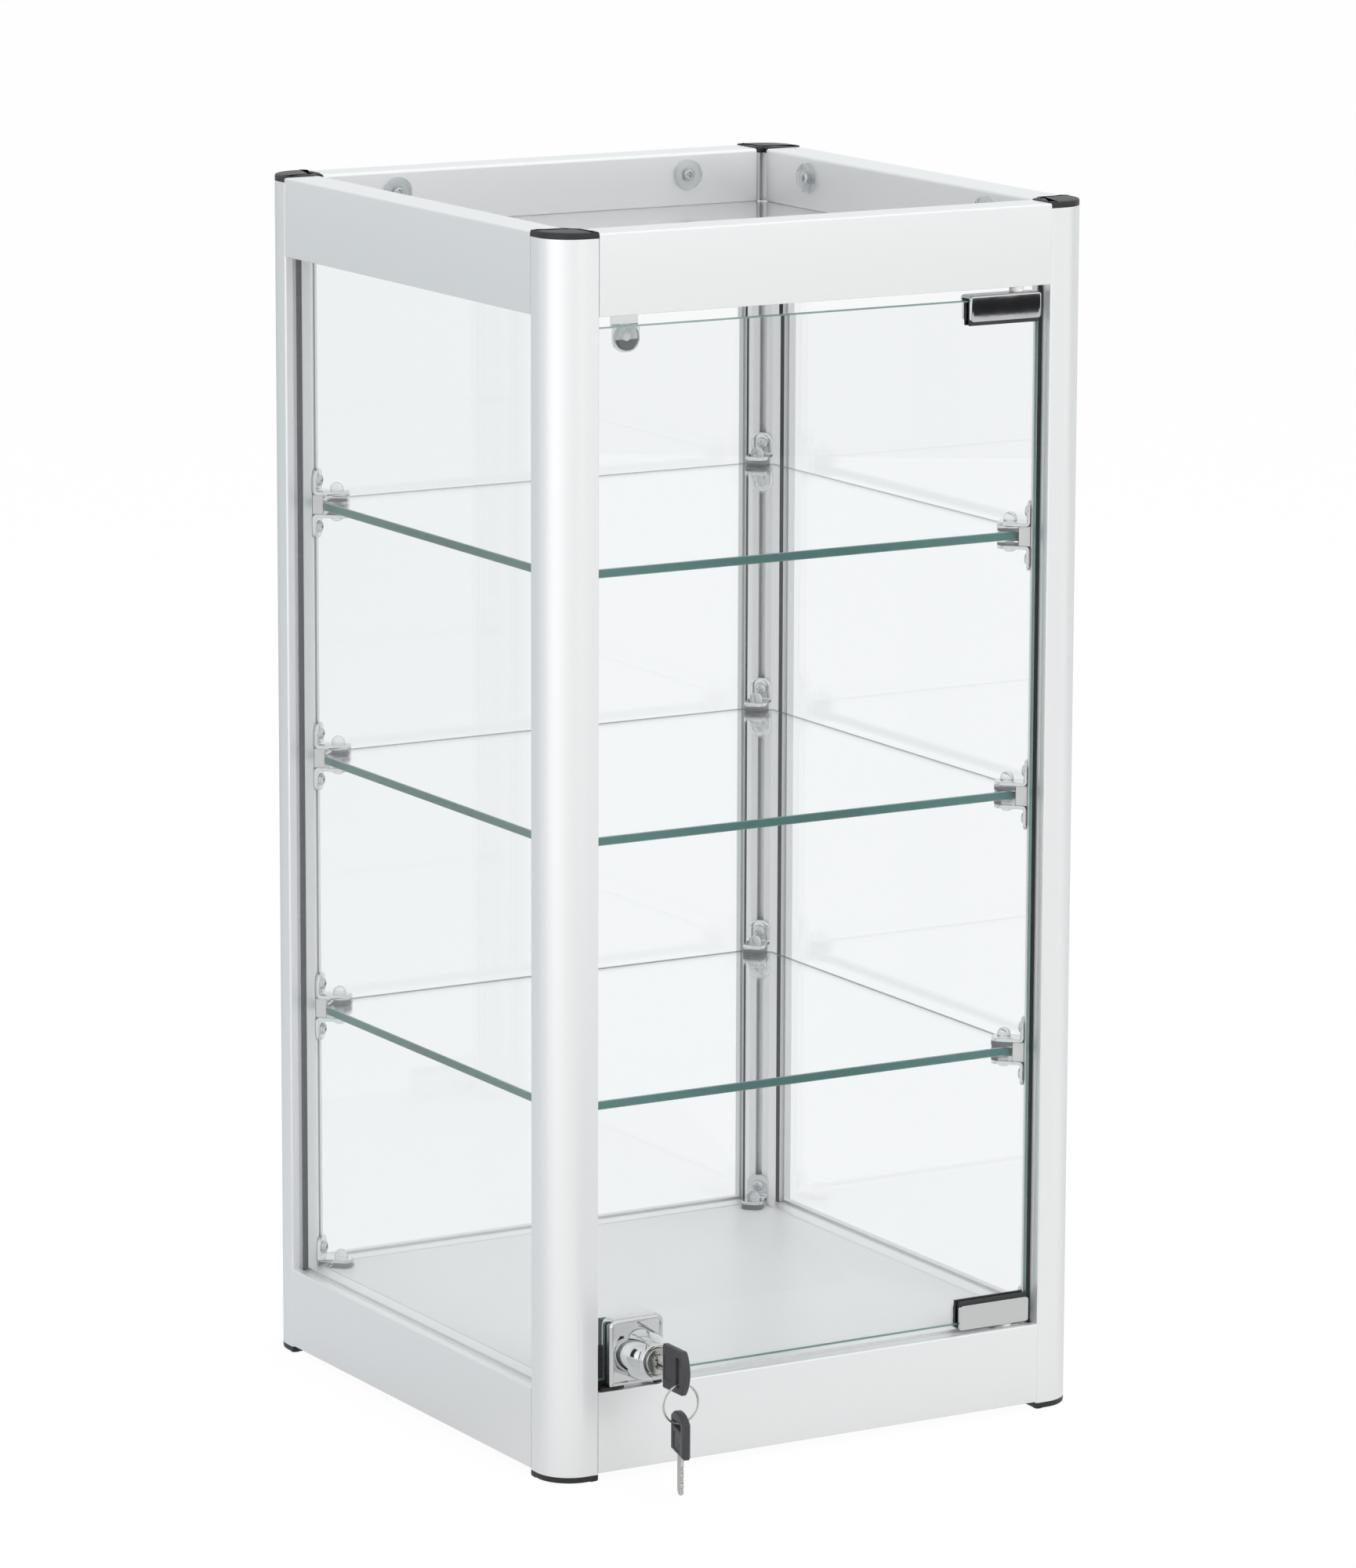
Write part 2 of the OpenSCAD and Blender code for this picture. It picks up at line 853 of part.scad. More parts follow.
module hinge_liner() {
    inner = hinge_deep - 2 * hinge_wall;
    difference() {
        translate([hinge_end - hinge_l + 0.5, door_mid - inner / 2, hinge_wall])
            cube([hinge_l - 1, inner, hinge_h - hinge_wall + liner_show]);
        translate([hinge_end - hinge_l, door_set, web_gap])
            cube([hinge_l + over, glass_t, hinge_h + liner_show]);
        translate([pin_x, door_mid, 0])
            cylinder(d = pin_d + 3, h = web_gap);
    }
}

module hinge_liners() {
    color(shadow_black)
        for (top = [false, true])
            at_hinge(top)
                hinge_liner();
}

module hinge_pins() {
    color(steel)
        for (top = [false, true]) {
            gap = top ? door_top_gap : door_lift;
            at_hinge(top)
                translate([pin_x, door_mid, 0]) {
                    translate([0, 0, hinge_wall])
                        cylinder(d = pin_d + 2.6, h = liner_t - 0.2);
                    translate([0, 0, -gap - bush_deep + apart])
                        cylinder(d = pin_d, h = gap + bush_deep - apart + hinge_wall + eps);
                }
        }
}

// Nylon bush: a block in the rail's groove with a collar that carries the hinge clamp
module hinge_bushes() {
    color("#e8e6dd")
        for (top = [false, true]) {
            gap = top ? door_top_gap : door_lift;
            at_hinge(top)
                difference() {
                    union() {
                        translate([pin_x - bush_w / 2, groove_lip + 0.1, -gap - bush_deep])
                            cube([bush_w, groove_w - 0.2, bush_deep]);
                        translate([pin_x, door_mid, -gap - over])
                            cylinder(d = pin_d + 3.4, h = gap + over - apart);
                    }
                    translate([pin_x, door_mid, -gap - bush_deep - over])
                        cylinder(d = pin_d + 2 * run, h = bush_deep + gap + 2 * over);
                }
        }
}

module stop_bracket() {
    color(chrome)
        on_side(0)
            difference() {
                union() {
                    translate([stop_x - stop_w / 2, stop_front, top_rail_z - stop_t])
                        cube([stop_w, rail_t - 0.4 - stop_front, stop_t]);
                    translate([stop_x, stop_front, top_rail_z])
                        rotate([90, 90, 0])
                            mirror([0, 0, 1])
                                linear_extrude(stop_t)
                                    tab_2d(0, stop_drop, stop_w, stop_round);
                }
                translate([stop_x, stop_screw_y, top_rail_z - stop_t - over])
                    cylinder(d = stop_screw_d + 0.4, h = stop_t + 2 * over);
                translate([stop_x, stop_front - over, top_rail_z - stop_drop + stop_w / 2])
                    rotate([-90, 0, 0])
                        cylinder(d = stop_stem_d + 2 * eps, h = stop_t + 2 * over);
            }
}

module stop_bumper() {
    color(clear_vinyl)
        on_side(0)
            translate([stop_x, stop_front, top_rail_z - stop_drop + stop_w / 2])
                rotate([90, 0, 0]) {
                    cylinder(d = bumper_d, h = bumper_t);
                    translate([0, 0, -stop_t - 1])
                        cylinder(d = stop_stem_d, h = stop_t + 2);
                    translate([0, 0, -stop_t - 1])
                        cylinder(d = stop_stem_head_d, h = 1);
                }
}

// Lock, in a frame on its axis with +Z pointing out of the door and +Y up

lock_x = -door_half + lock_inset;
lock_z = door_z0 + lock_rise;
shank_r = plug_r + 1.8;
rim_round = 1.2;
back_plate_t = 4;
back_plate_w = 32;
back_plate_h = 34;
nut_d = 28;
nut_h = 3;
case_rear = -glass_t - back_plate_t - nut_h;
cam_t = 2;
cam_gap = 3;
cam_z = case_rear - cam_gap;
cam_hub_r = 6.4;
cam_tip_r = 5;
cam_screw_d = 3;
cam_screw_l = 8;
cam_head_d = 6;
cam_head_h = 1.6;
keyway_w = blade_t + 2 * apart;
keyway_h = blade_h + 2 * apart + 0.2;
keyway_deep = blade_l - blade_show + 1;
plug_face = barrel_out + plug_out;
head_rear = plug_face + blade_show;
eye_out = head_l - eye_edge;
eye_mid = eye_out - eye_w / 2;

module in_lock() {
    translate([lock_x, frame_y - case_d / 2 + door_set, lock_z])
        rotate([90, 0, 0])
            children();
}

// Half section of the lock's dome and barrel: a convex flare, then a rounded rim
module barrel_half_2d() {
    fall = dome_r - barrel_r;
    flare_r = (dome_l * dome_l + fall * fall) / (2 * fall);
    barrel_l = barrel_out - plate_t;
    intersection() {
        translate([dome_r - flare_r, 0])
            circle(r = flare_r, $fn = 180);
        square([dome_r, dome_l]);
    }
    square([barrel_r, barrel_l - rim_round]);
    square([barrel_r - rim_round, barrel_l]);
    translate([barrel_r - rim_round, barrel_l - rim_round])
        circle(r = rim_round);
}

module lock_case() {
    color(chrome)
        in_lock()
            difference() {
                union() {
                    translate([0, plate_rise, 0])
                        linear_extrude(plate_t) {
                            rounded_rect_2d(plate_w, plate_h, plate_round);
                            translate([0, -plate_h / 4])
                                rounded_rect_2d(plate_w, plate_h / 2, plate_foot_round);
                        }
                    translate([0, 0, plate_t])
                        rotate_extrude()
                            barrel_half_2d();
                    translate([0, 0, case_rear])
                        cylinder(r = shank_r, h = over - case_rear);
                }
                translate([0, 0, case_rear - over])
                    cylinder(r = plug_r + run, h = barrel_out - case_rear + 2 * over);
            }
}

// Black plate behind the glass, with a wing at its left and two lips that reach forward
// under the door's lower edge and under the lock's plate
wing_x0 = -22.6;
wing_x1 = -7.5;
wing_top = 2;
lip_low = 3.8;
lip_high = 2.3;
lip_front = 8;
foot_x0 = 13.5;
foot_x1 = 17.5;

module back_plate_leg(x0, x1, top) {
    rear = -glass_t - back_plate_t;
    translate([x0, -lock_rise - lip_low, rear])
        cube([x1 - x0, top + lock_rise + lip_low, back_plate_t]);
    translate([x0, -lock_rise - lip_low, rear])
        cube([x1 - x0, lip_low - apart, glass_t + back_plate_t]);
    translate([x0, -lock_rise - lip_low, rear])
        cube([x1 - x0, lip_low - lip_high, glass_t + back_plate_t + lip_front]);
}

module lock_back_plate() {
    color(shadow_black)
        in_lock()
            difference() {
                union() {
                    translate([-back_plate_w / 2, 1 - lock_rise, -glass_t - back_plate_t])
                        cube([back_plate_w, back_plate_h, back_plate_t]);
                    back_plate_leg(wing_x0, wing_x1, wing_top);
                    back_plate_leg(foot_x0, foot_x1, 1 - lock_rise + apart);
                }
                translate([0, 0, -glass_t - back_plate_t - over])
                    cylinder(r = shank_r + 0.1, h = back_plate_t + 2 * over);
            }
}

module lock_nut() {
    color(steel)
        in_lock()
            translate([0, 0, case_rear])
                difference() {
                    cylinder(d = nut_d, h = nut_h, $fn = 6);
                    translate([0, 0, -over])
                        cylinder(r = shank_r + eps, h = nut_h + 2 * over);
                }
}

module lock_plug() {
    tail_r = 5;
    color(steel)
        in_lock()
            difference() {
                union() {
                    translate([0, 0, -glass_t - back_plate_t])
                        cylinder(r = plug_r, h = plug_face + glass_t + back_plate_t);
                    translate([0, 0, cam_z])
                        cylinder(r = tail_r, h = -cam_z);
                }
                translate([-keyway_w / 2, -keyway_h / 2, plug_face - keyway_deep])
                    cube([keyway_w, keyway_h, keyway_deep + over]);
                translate([0, 0, cam_z - over])
                    cylinder(d = cam_screw_d + 2 * eps, h = cam_screw_l + over);
            }
}

module lock_cam() {
    color(steel)
        in_lock()
            translate([0, 0, cam_z - cam_t])
                rotate([0, 0, cam_rest])
                    linear_extrude(cam_t)
                        difference() {
                            union() {
                                circle(r = cam_hub_r);
                                translate([cam_l - cam_tip_r, 0])
                                    circle(r = cam_tip_r);
                                polygon([
                                    [0, -cam_hub_r], [cam_l - cam_tip_r, -cam_tip_r],
                                    [cam_l - cam_tip_r, cam_tip_r], [0, cam_hub_r]
                                ]);
                            }
                            circle(d = cam_screw_d + 0.4);
                        }
}

module cam_screw() {
    color(steel)
        in_lock() {
            translate([0, 0, cam_z - cam_t - cam_head_h])
                cylinder(d = cam_head_d, h = cam_head_h);
            translate([0, 0, cam_z - cam_t - over / 2])
                cylinder(d = cam_screw_d, h = cam_t + cam_screw_l);
        }
}

// Keys: drawn with the blade on -X, the head on +X from 0 and the width on Y, then turned

tang_l = 10;
tang_h = blade_h - 1;

module bevel_edge(length, y, z) {
    side = head_bevel * sqrt(2);
    translate([length / 2, y, z])
        rotate([45, 0, 0])
            cube([length + 2 * over, side, side], center = true);
}

module key_head_shape() {
    bulge_r = (head_w * head_w / 4 + head_bulge * head_bulge) / (2 * head_bulge);
    difference() {
        linear_extrude(head_t, center = true)
            difference() {
                intersection() {
                    translate([0, -head_w / 2])
                        square([head_l + head_bulge, head_w]);
                    translate([head_l + head_bulge - bulge_r, 0])
                        circle(r = bulge_r, $fn = 128);
                }
                translate([eye_out - eye_w, -eye_l / 2])
                    square([eye_w, eye_l]);
            }
        for (sy = [-1, 1], sz = [-1, 1]) {
            bevel_edge(head_l + head_bulge, sy * head_w / 2, sz * head_t / 2);
            translate([eye_out - eye_w + over, 0, 0])
                bevel_edge(eye_w - 2 * over, sy * eye_l / 2, sz * head_t / 2);
        }
        translate([-over, -tang_h / 2 - eps, -blade_t / 2 - eps])
            cube([tang_l + over + 0.1, tang_h + 2 * eps, blade_t + 2 * eps]);
    }
}

// Blade with a pointed tip and a row of cuts along one edge
module key_blade_shape() {
    cuts = 5;
    cut_step = 3;
    cut_deep = 1.6;
    difference() {
        linear_extrude(blade_t, center = true)
            polygon([
                [-blade_l + 2, -blade_h / 2], [-eps, -blade_h / 2], [-eps, -tang_h / 2],
                [tang_l, -tang_h / 2], [tang_l, tang_h / 2], [-eps, tang_h / 2],
                [-eps, blade_h / 2], [-blade_l + 2, blade_h / 2], [-blade_l, 1], [-blade_l, -1]
            ]);
        for (k = [0:cuts - 1])
            translate([-blade_l + 4.5 + k * cut_step, -blade_h / 2, 0])
                rotate([0, 0, 45])
                    cube([cut_deep, cut_deep, blade_t + over], center = true);
        translate([-blade_l - over, 0.6, blade_t / 2 - 0.4])
            cube([blade_l - 1, 1, over]);
    }
}

// The key in the lock: its length runs out of the door and its width is upright
module in_key() {
    in_lock()
        translate([0, 0, head_rear])
            rotate([0, -90, 0])
                rotate([180, 0, 0])
                    children();
}

// The ring hangs round the bar below the key's eye, and the spare key hangs on the ring
ring_in = ring_r - ring_wire / 2;
bar_half = (head_w - eye_l) / 4;
bar_mid = eye_l / 2 + bar_half;
bar_far = max(norm([bar_half - head_bevel, head_t / 2]), norm([bar_half, head_t / 2 - head_bevel]));
ring_hang = ring_in - apart - bar_far;
ring_y = -bar_mid - ring_hang;
ring_z = head_rear + eye_mid;
spare_pivot_y = ring_y - ring_r;
spare_rear_y = spare_pivot_y + ring_wire / 2 + 2 * apart - eye_out;

// Half of what the keys reach out of the case's front: it puts the frame's origin under the
// middle of the whole, keys included
spare_reach = head_w / 2 * cos(spare_turn) + (head_t / 2 - head_bevel) * sin(spare_turn);
frame_y = (ring_z + spare_reach - door_set) / 2;

module in_spare() {
    in_lock()
        translate([0, spare_rear_y, ring_z])
            rotate([0, spare_turn, 0])
                rotate([0, 0, 90])
                    rotate([90, 0, 0])
                        children();
}

module key_blade() {
    color(steel)
        in_key()
            key_blade_shape();
}

module key_head() {
    color(shadow_black)
        in_key()
            key_head_shape();
}

module key_ring() {
    color(chrome)
        in_lock()
            translate([0, ring_y, ring_z])
                rotate_extrude($fn = 96)
                    translate([ring_r, 0])
                        circle(d = ring_wire, $fn = 24);
}

module spare_key_blade() {
    color(steel)
        in_spare()
            key_blade_shape();
}

module spare_key_head() {
    color(shadow_black)
        in_spare()
            key_head_shape();
}

post(-1, -1);  // post_front_left
post(1, -1);  // post_front_right
post(-1, 1);  // post_back_left
post(1, 1);  // post_back_right
post_caps();
post_feet();
top_rail(0);  // top_rail_front
top_rail(1);  // top_rail_right
top_rail(2);  // top_rail_back
top_rail(3);  // top_rail_left
bottom_rail(0);  // bottom_rail_front
bottom_rail(1);  // bottom_rail_right
bottom_rail(2);  // bottom_rail_back
bottom_rail(3);  // bottom_rail_left
rail_connectors();
pane(1);  // glass_right
pane(2);  // glass_back
pane(3);  // glass_left
pane_gaskets();
tray_glass();
floor_panel();
tray_discs();
top_rail_screws();
shelf_glass(1);  // shelf_1_glass
shelf_brackets(1);  // shelf_1_brackets
shelf_pads(1);  // shelf_1_pads
shelf_spacers(1);  // shelf_1_spacers
shelf_screws(1);  // shelf_1_screws
shelf_glass(2);  // shelf_2_glass
shelf_brackets(2);  // shelf_2_brackets
shelf_pads(2);  // shelf_2_pads
shelf_spacers(2);  // shelf_2_spacers
shelf_screws(2);  // shelf_2_screws
shelf_glass(3);  // shelf_3_glass
shelf_brackets(3);  // shelf_3_brackets
shelf_pads(3);  // shelf_3_pads
shelf_spacers(3);  // shelf_3_spacers
shelf_screws(3);  // shelf_3_screws
floor_brackets();
floor_pads();
floor_screws();
door_glass();
hinge_clamp(true);  // hinge_clamp_top
hinge_clamp(false);  // hinge_clamp_bottom
hinge_liners();
hinge_pins();
hinge_bushes();
stop_bracket();
stop_bumper();
lock_case();
lock_back_plate();
lock_nut();
lock_plug();
lock_cam();
cam_screw();
key_blade();
key_head();
key_ring();
spare_key_blade();
spare_key_head();
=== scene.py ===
import math

import bmesh
import bpy
from mathutils import Matrix, Vector


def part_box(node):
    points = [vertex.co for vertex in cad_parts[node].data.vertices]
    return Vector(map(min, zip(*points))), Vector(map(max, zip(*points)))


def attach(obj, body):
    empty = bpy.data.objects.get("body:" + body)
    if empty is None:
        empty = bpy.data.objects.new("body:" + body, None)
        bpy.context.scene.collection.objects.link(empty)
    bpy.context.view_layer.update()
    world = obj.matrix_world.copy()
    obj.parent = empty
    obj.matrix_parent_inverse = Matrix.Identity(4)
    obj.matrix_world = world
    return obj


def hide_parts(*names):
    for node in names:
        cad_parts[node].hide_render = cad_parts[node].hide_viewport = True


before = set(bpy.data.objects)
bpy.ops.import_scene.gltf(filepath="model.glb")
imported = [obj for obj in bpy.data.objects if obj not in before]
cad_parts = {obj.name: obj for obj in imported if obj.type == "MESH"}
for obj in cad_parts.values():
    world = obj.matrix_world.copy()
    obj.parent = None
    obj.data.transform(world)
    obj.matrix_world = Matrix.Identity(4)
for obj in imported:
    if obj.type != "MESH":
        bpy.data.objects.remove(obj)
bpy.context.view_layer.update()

# Camera and surroundings: the camera stands to the left of the door and looks along a long
# lens. To it and through glass, counter and air are plain white, while metal and glass mirror
# the walls of a photo studio, which are darker at the back, a window and a few dark cards.


class Wire:
    """A node's output, with the sums that the finishes and patterns need."""

    def __init__(self, nodes, node, output):
        self.nodes, self.node, self.socket = nodes, node, node.outputs[output]

    def other(self, output):
        return Wire(self.nodes, self.node, output)

    def worked(self, operation, first, second):
        return self.nodes.add("ShaderNodeMath", {"operation": operation}, {0: first, 1: second})

    def __add__(self, other):
        return self.worked("ADD", self, other)

    def __radd__(self, other):
        return self.worked("ADD", other, self)

    def __sub__(self, other):
        return self.worked("SUBTRACT", self, other)

    def __rsub__(self, other):
        return self.worked("SUBTRACT", other, self)

    def __mul__(self, other):
        return self.worked("MULTIPLY", self, other)

    def __rmul__(self, other):
        return self.worked("MULTIPLY", other, self)

    def __truediv__(self, other):
        return self.worked("DIVIDE", self, other)

    def __rtruediv__(self, other):
        return self.worked("DIVIDE", other, self)


class Nodes:
    """A node tree to which nodes are added with their settings first and their sockets after."""

    def __init__(self, tree):
        self.tree = tree

    def add(self, kind, settings=None, sockets=None, output=0):
        node = self.tree.nodes.new(kind)
        for name, value in (settings or {}).items():
            if name == "stops":
                ramp = node.color_ramp.elements
                while len(ramp) < len(value):
                    ramp.new(0.5)
                for stop, (place, colour) in zip(ramp, value):
                    stop.position, stop.color = place, colour
            else:
                setattr(node, name, value)
        for name, value in (sockets or {}).items():
            if isinstance(value, Wire):
                self.tree.links.new(value.socket, node.inputs[name])
            else:
                node.inputs[name].default_value = value
        return Wire(self, node, output) if len(node.outputs) else None


def finish(name, shader, **values):
    """A new material with the surface that shader(nodes, **values) returns."""
    material = bpy.data.materials.new(name)
    material.use_nodes = True
    nodes = Nodes(material.node_tree)
    nodes.tree.nodes.clear()
    nodes.add("ShaderNodeOutputMaterial", {}, {"Surface": shader(nodes, **values)})
    return material


def seen(nodes):
    """Whether a ray sees for the camera or through glass, and whether it was mirrored."""
    path = nodes.add("ShaderNodeLightPath", output="Is Camera Ray")
    direct = nodes.add("ShaderNodeMath", {"operation": "MAXIMUM"},
                       {0: path, 1: path.other("Is Transmission Ray")})
    return direct, path.other("Is Glossy Ray")


def facing_wall(nodes, direction, turn, stops):
    """A tone by how far a direction points to the wall at turn degrees left of the back."""
    wall = (-math.sin(math.radians(turn)), math.cos(math.radians(turn)), 0)
    toward = nodes.add("ShaderNodeVectorMath", {"operation": "DOT_PRODUCT"},
                       {0: direction, 1: wall}, "Value")
    return nodes.add("ShaderNodeValToRGB", {"stops": stops}, {0: toward * 0.5 + 0.5})


def with_window(nodes, direction, walls):
    """The tones of the walls from the back to the front, and on the left a bright window."""
    window = facing_wall(nodes, direction, 97, [
        (0.74, (0, 0, 0, 1)), (0.87, (0.14, 0.14, 0.14, 1)), (0.97, (0.50, 0.50, 0.51, 1))])
    tone = facing_wall(nodes, direction, 180, walls)
    return nodes.add("ShaderNodeVectorMath", {"operation": "ADD"}, {0: tone, 1: window})


def counter_white(nodes):
    """Nearly shadowless white where it is seen, the room's tones where it is mirrored."""
    matt = nodes.add("ShaderNodeBsdfDiffuse", {}, {"Color": (0.88, 0.88, 0.88, 1)})
    white = nodes.add("ShaderNodeEmission", {}, {"Color": (1, 1, 1, 1)})
    spot = nodes.add("ShaderNodeTexCoord", output="Object")
    below = nodes.add("ShaderNodeVectorMath", {"operation": "SUBTRACT"}, {0: spot, 1: (0, 0, 1)})
    away = nodes.add("ShaderNodeVectorMath", {"operation": "NORMALIZE"}, {0: below})
    tone = with_window(nodes, away, [
        (0.08, (0.36, 0.41, 0.435, 1)), (0.12, (0.47, 0.52, 0.55, 1)),
        (0.37, (0.58, 0.62, 0.645, 1)), (0.5, (0.56, 0.575, 0.58, 1)),
        (0.64, (0.77, 0.775, 0.77, 1)), (0.88, (0.69, 0.695, 0.69, 1)),
        (0.93, (0.83, 0.835, 0.83, 1))])
    pale = nodes.add("ShaderNodeEmission", {}, {"Color": tone})
    direct, mirrored = seen(nodes)
    lit = nodes.add("ShaderNodeMixShader", {}, {0: mirrored * 0.92, 1: matt, 2: pale})
    return nodes.add("ShaderNodeMixShader", {}, {0: direct * 0.95, 1: lit, 2: white})


def card_paper(nodes, tone):
    return nodes.add("ShaderNodeEmission", {}, {"Color": (tone, tone, tone * 1.1, 1)})


def in_scene(name, data):
    """A new object with that data, at the origin."""
    made = bpy.data.objects.new(name, data)
    bpy.context.scene.collection.objects.link(made)
    return made


def flat_card(name, corners, material, only_mirrored=True):
    """A four-cornered sheet of the surroundings, which may show in mirrors alone."""
    sheet = bpy.data.meshes.new(name)
    sheet.from_pydata(corners, [], [(0, 1, 2, 3)])
    sheet.materials.append(material)
    card = in_scene(name, sheet)
    if only_mirrored:
        card.visible_camera = card.visible_transmission = False
        card.visible_diffuse = card.visible_shadow = False


bpy.context.scene.view_settings.view_transform = "Standard"
picture_wide, picture_high = 1730, 2000
lens_pixels, aim_x, aim_y = 9241.2, 862.69, 989
camera_data = bpy.data.cameras.new("camera")
camera = in_scene("camera", camera_data)
bpy.context.scene.camera = camera
camera_data.sensor_fit = "VERTICAL"
camera_data.sensor_height = 36
camera_data.lens = lens_pixels / picture_high * camera_data.sensor_height
camera_data.shift_x = (picture_wide / 2 - aim_x) / picture_high
camera_data.shift_y = (aim_y - picture_high / 2) / picture_high
camera_data.clip_end = 100

front_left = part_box("post_front_left")
back_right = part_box("post_back_right")
middle_y = (front_left[0].y + back_right[1].y) / 2
yaw, pitch, roll = 0.5269, -0.1946, 0.0032
ahead = Vector((math.sin(yaw) * math.cos(pitch), math.cos(yaw) * math.cos(pitch), math.sin(pitch)))
level = Vector((math.cos(yaw), -math.sin(yaw), 0))
upward = level.cross(ahead)
right = level * math.cos(roll) + upward * math.sin(roll)
up = upward * math.cos(roll) - level * math.sin(roll)
turned = Matrix((right, up, -ahead)).transposed().to_4x4()
tripod = Vector((-2.11761, -3.64725 + middle_y, 1.19796))
camera.matrix_world = Matrix.Translation(tripod) @ turned

world = bpy.data.worlds.new("studio_air")
bpy.context.scene.world = world
world.use_nodes = True
air = Nodes(world.node_tree)
air.tree.nodes.clear()
direct, mirrored = seen(air)
outwards = air.add("ShaderNodeTexCoord", output="Generated")
walls = with_window(air, outwards, [
    (0.06, (0.68, 0.71, 0.72, 1)), (0.5, (0.86, 0.87, 0.88, 1)), (0.94, (1.02, 1.02, 1.02, 1))])
dim = air.add("ShaderNodeBackground", {}, {"Color": (0.975, 0.99, 0.99, 1), "Strength": 0.94})
around = air.add("ShaderNodeBackground", {}, {"Color": walls})
white = air.add("ShaderNodeBackground", {}, {"Color": (1, 1, 1, 1)})
in_mirrors = air.add("ShaderNodeMixShader", {}, {0: mirrored, 1: dim, 2: around})
air.add("ShaderNodeOutputWorld", {}, {
    "Surface": air.add("ShaderNodeMixShader", {}, {0: direct, 1: in_mirrors, 2: white})})

counter_reach = 9
square = ((-1, -1), (1, -1), (1, 1), (-1, 1))
flat_card("counter", [(a * counter_reach, b * counter_reach, 0) for a, b in square],
          finish("counter_white", counter_white), only_mirrored=False)
black_paper = finish("black_card", card_paper, tone=0.02)
lying_high, lying_front, lying_back = 0.002, -0.9, -0.425
flat_card("low_card", [(x, y, lying_high) for x, y in (
    (-0.2, lying_front), (0.35, lying_front), (0.2, lying_back), (-0.2, lying_back))],
    finish("grey_card", card_paper, tone=0.38))
for name, spot, wide, high in [("floor_edge_flag", (2.15, -3.3, 0.17), 1.0, 0.55),
                               ("right_flag", (3.0, -0.6, 1.1), 0.5, 2.2),
                               ("left_flag", (-3.0, 0.9, 1.1), 0.4, 2.2),
                               ("behind_camera_flag", (-0.9, -4.6, 1.4), 0.6, 2.0)]:
    away = Vector((spot[0], spot[1], 0)).normalized()
    side = Vector((-away.y, away.x, 0)) * wide / 2
    rise = Vector((0, 0, high / 2))
    flat_card(name, [Vector(spot) + a * side + b * rise for a, b in square], black_paper)

for name, spot, target, size, power in [
    ("key_softbox", (0.2, -3.1, 1.9), (0, 0, 0.4), 1.8, 34),
    ("top_softbox", (0.4, 0.2, 2.8), (0, 0, 0.3), 2.2, 32),
]:
    lamp_data = bpy.data.lights.new(name, "AREA")
    lamp_data.size, lamp_data.energy = size, power
    lamp = in_scene(name, lamp_data)
    lamp.location = spot
    lamp.rotation_euler = (Vector(target) - Vector(spot)).to_track_quat("-Z", "Y").to_euler()
    lamp.visible_camera = lamp.visible_glossy = lamp.visible_transmission = False

# Corner posts: four lengths of one aluminium extrusion, rounded outside, with a pane groove in
# each end face and a slot for the shelf clamps along the slanting inner face. Blasted and
# clear anodised, so that they have a fine satin.

MM = 0.001
half_width = (back_right[1].x - front_left[0].x) / MM / 2
half_depth = (back_right[1].y - front_left[0].y) / MM / 2
middle = middle_y / MM
post_low, post_high = front_left[0].z / MM, front_left[1].z / MM
case_corners = [("front_left", -1, -1), ("front_right", 1, -1),
                ("back_left", -1, 1), ("back_right", 1, 1)]
post_side, post_round = 28.4, 20.7
groove_near, groove_far, groove_deep = 5.2, 14.1, 1.4
slant_start, slant_middle = 20, 24.2
root_half = math.sqrt(0.5)


def rounded(corners, step=math.radians(9)):
    """Points of a closed outline from its (x, y, radius) corners."""
    points = []
    for i, (x, y, radius) in enumerate(corners):
        corner = Vector((x, y))
        if radius == 0:
            points.append(corner)
            continue
        to_last = (Vector(corners[i - 1][:2]) - corner).normalized()
        to_next = (Vector(corners[(i + 1) % len(corners)][:2]) - corner).normalized()
        half = to_last.angle(to_next) / 2
        centre = corner + (to_last + to_next).normalized() * (radius / math.sin(half))
        start = corner + to_last * (radius / math.tan(half)) - centre
        end = corner + to_next * (radius / math.tan(half)) - centre
        first = math.atan2(start.y, start.x)
        turn = (math.atan2(end.y, end.x) - first + math.pi) % (2 * math.pi) - math.pi
        count = max(2, math.ceil(abs(turn) / step))
        for k in range(count + 1):
            angle = first + turn * k / count
            points.append(centre + Vector((math.cos(angle), math.sin(angle))) * radius)
    return points


def stacked(loops):
    """A closed mesh through loops of equally many points, with both ends closed."""
    mesh = bmesh.new()
    rings = [[mesh.verts.new(p) for p in loop] for loop in loops]
    for low, high in zip(rings, rings[1:]):
        for a in range(len(low)):
            b = (a + 1) % len(low)
            mesh.faces.new((low[a], low[b], high[b], high[a]))
    mesh.faces.new(rings[0][::-1])
    mesh.faces.new(rings[-1])
    return mesh


def piece(name, mesh, material, scale=MM, place=lambda p: p, crease=35):
    """An object from a bmesh, each point moved by place, with its faces outwards."""
    for vert in mesh.verts:
        vert.co = Vector(place(vert.co)) * scale
    bmesh.ops.remove_doubles(mesh, verts=mesh.verts, dist=1e-7)
    bmesh.ops.recalc_face_normals(mesh, faces=mesh.faces)
    data = bpy.data.meshes.new(name)
    mesh.to_mesh(data)
    mesh.free()
    data.shade_smooth()
    data.set_sharp_from_angle(angle=math.radians(crease))
    data.materials.append(material)
    return in_scene(name, data)


def dress(made, body, slot, *nodes):
    """The piece rides on its body and stands for its CAD nodes; the slot is not used."""
    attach(made, body)
    if nodes:
        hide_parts(*nodes)


